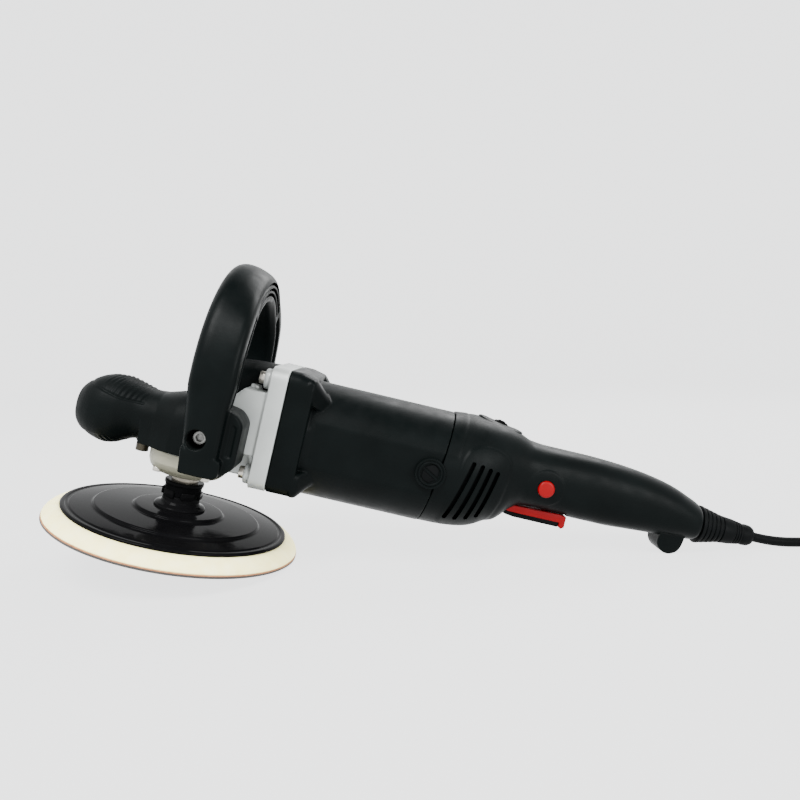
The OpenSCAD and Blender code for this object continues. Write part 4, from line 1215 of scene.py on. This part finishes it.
def make_trigger():
    """The black paddle, and the red frame behind it with its pivot and its plunger."""
    lever = [
        (226, 71.2), (230, 69.8), (236, 69), (269.3, 69), (269.3, 72.9), (232, 72.8), (226, 73.6),
    ]
    paddle = upright(rounded(lever, 0.8, 3), -10, 10, 0.6)
    piece("trigger_pad", paddle, "trigger_rubber", "trigger", nodes=["trigger"])
    inlay = [
        (224.2, 71.8), (226, 71.8), (228, 73.4), (232, 72.6), (240, 72.5), (269.4, 72.6),
        (269.4, 69.4), (271.4, 68.4), (273.6, 69.8), (273.6, 77.6), (268, 78.4), (250, 77.6),
        (233, 77.4), (228, 75.8),
    ]
    shapes = [
        upright(rounded(inlay, 0.5, 3), -TRIGGER_HALF, TRIGGER_HALF, 0.4),
        put(drum(3, -8, 8, 0.3, 32), along_y(PIVOT_X, 0, PIVOT_Z)),
        upright([(226.5, 75), (231.5, 75), (231.5, 80), (226.5, 80)], -8, 8, 0.3),
        upright([(258, 77), (262, 77), (262, 79.6), (258, 79.6)], -3, 3, 0.2),
    ]
    piece("trigger_frame", join(*shapes), "red_plastic", "trigger", nodes=["trigger_inlay"])


def make_button():
    section = [
        (0, 0), (4.6, 0.05), (5.5, 0.5), (5.95, 1.5), (BUTTON_R, 7.7), (2.2, 7.8), (2.2, 13.6),
        (0, 13.6),
    ]
    button = put(turned_rod(section, 0.3, 64), along_y(BUTTON_X, -26.3, BUTTON_Z))
    piece("lock_button_cap", button, "red_plastic", "lock_button", nodes=["lock_button"])


def make_dial_surround():
    """A lens-shaped surround that follows the shell's curve, with a slot for the wheel's rim."""
    lens = oval(BEZEL_HALF_X, BEZEL_HALF_Y, 2.2)
    levels = (-1.6, 0.2), (0.2, 0.1), (0.7, 0.4), (1.1, 1.3), (1.35, 3.0), (1.5, 5.5)
    rings = [
        [(x, y, z - SHELL_ROUND + math.sqrt(SHELL_ROUND**2 - y * y)) for x, y in inset(lens, k)]
        for z, k in levels
    ]
    surround = solid("dial_surround", put(loft(rings), DIAL))
    mouth = put(prism(round_rect(13.6, 5.2, 1.2, 4), -9, 9, 0.1), DIAL)
    wheel_place = DIAL @ at(0, 0, -4.9) @ turned(-90, "X")
    carve(surround, [mouth])
    carve(surround, [put(drum(8.5, -2.6, 2.6, 0.1, 64), wheel_place)])
    dress(surround, "black_plastic", nodes=["dial_bezel"])


make_shells()
make_vent_shade_sheet()
make_relief()
make_trigger()
make_button()
make_dial_surround()


# ---- Finishes on the CAD nodes that stay ----


def finish_nodes():
    """Each of them gets the look of its own material slot."""
    slots = {part["node"]: part["material_slot"] for part in frame["record"]["subparts"]}
    for name, obj in frame["nodes"].items():
        look = LOOKS[slots[name]]
        if not obj.material_slots:
            obj.data.materials.append(look)
        for material_slot in obj.material_slots:
            material_slot.material = look


finish_nodes()


# ---- Floor and backdrop ----

PAPER = (0.12, 0.12, 0.12)
PAPER_GLOW = 2.3
SWEEP_R, SWEEP_BEND = 2.0, 0.8


def make_backdrop():
    """A pale sweep: a floor that curves up into a wall on every side."""
    wall = SWEEP_R + SWEEP_BEND
    profile = [(0.02, 0), (0.6, 0), (1.2, 0), (SWEEP_R, 0)]
    for out, down in (polar(SWEEP_BEND, a) for a in range(81, -1, -9)):
        profile.append((SWEEP_R + out, SWEEP_BEND - down))
    profile += [(wall, 2.0), (wall, 4.0)]
    rings = [[(*polar(r, 5.625 * k), z) for k in range(64)] for r, z in profile]
    middle = [(*p[:2], 0) for p in rings[0]], [list(range(64))]
    sweep = mesh_object("sweep", loft(rings[::-1], caps=False), UNPLACED)
    floor = mesh_object("sweep_middle", middle, UNPLACED)
    paper = Look("paper", PAPER, 0.9)
    paper.tint(paper.noise(400, 2), [shade(PAPER, 0.995), PAPER])
    paper.set("Specular IOR Level", 0.0)
    paper.set("Emission Color", (0.985, 0.995, 1.0, 1))
    paper.set("Emission Strength", PAPER_GLOW)
    for obj in (sweep, floor):
        obj.data.materials.append(paper.material)
        obj.data.polygons.foreach_set("use_smooth", [True] * len(obj.data.polygons))


make_backdrop()
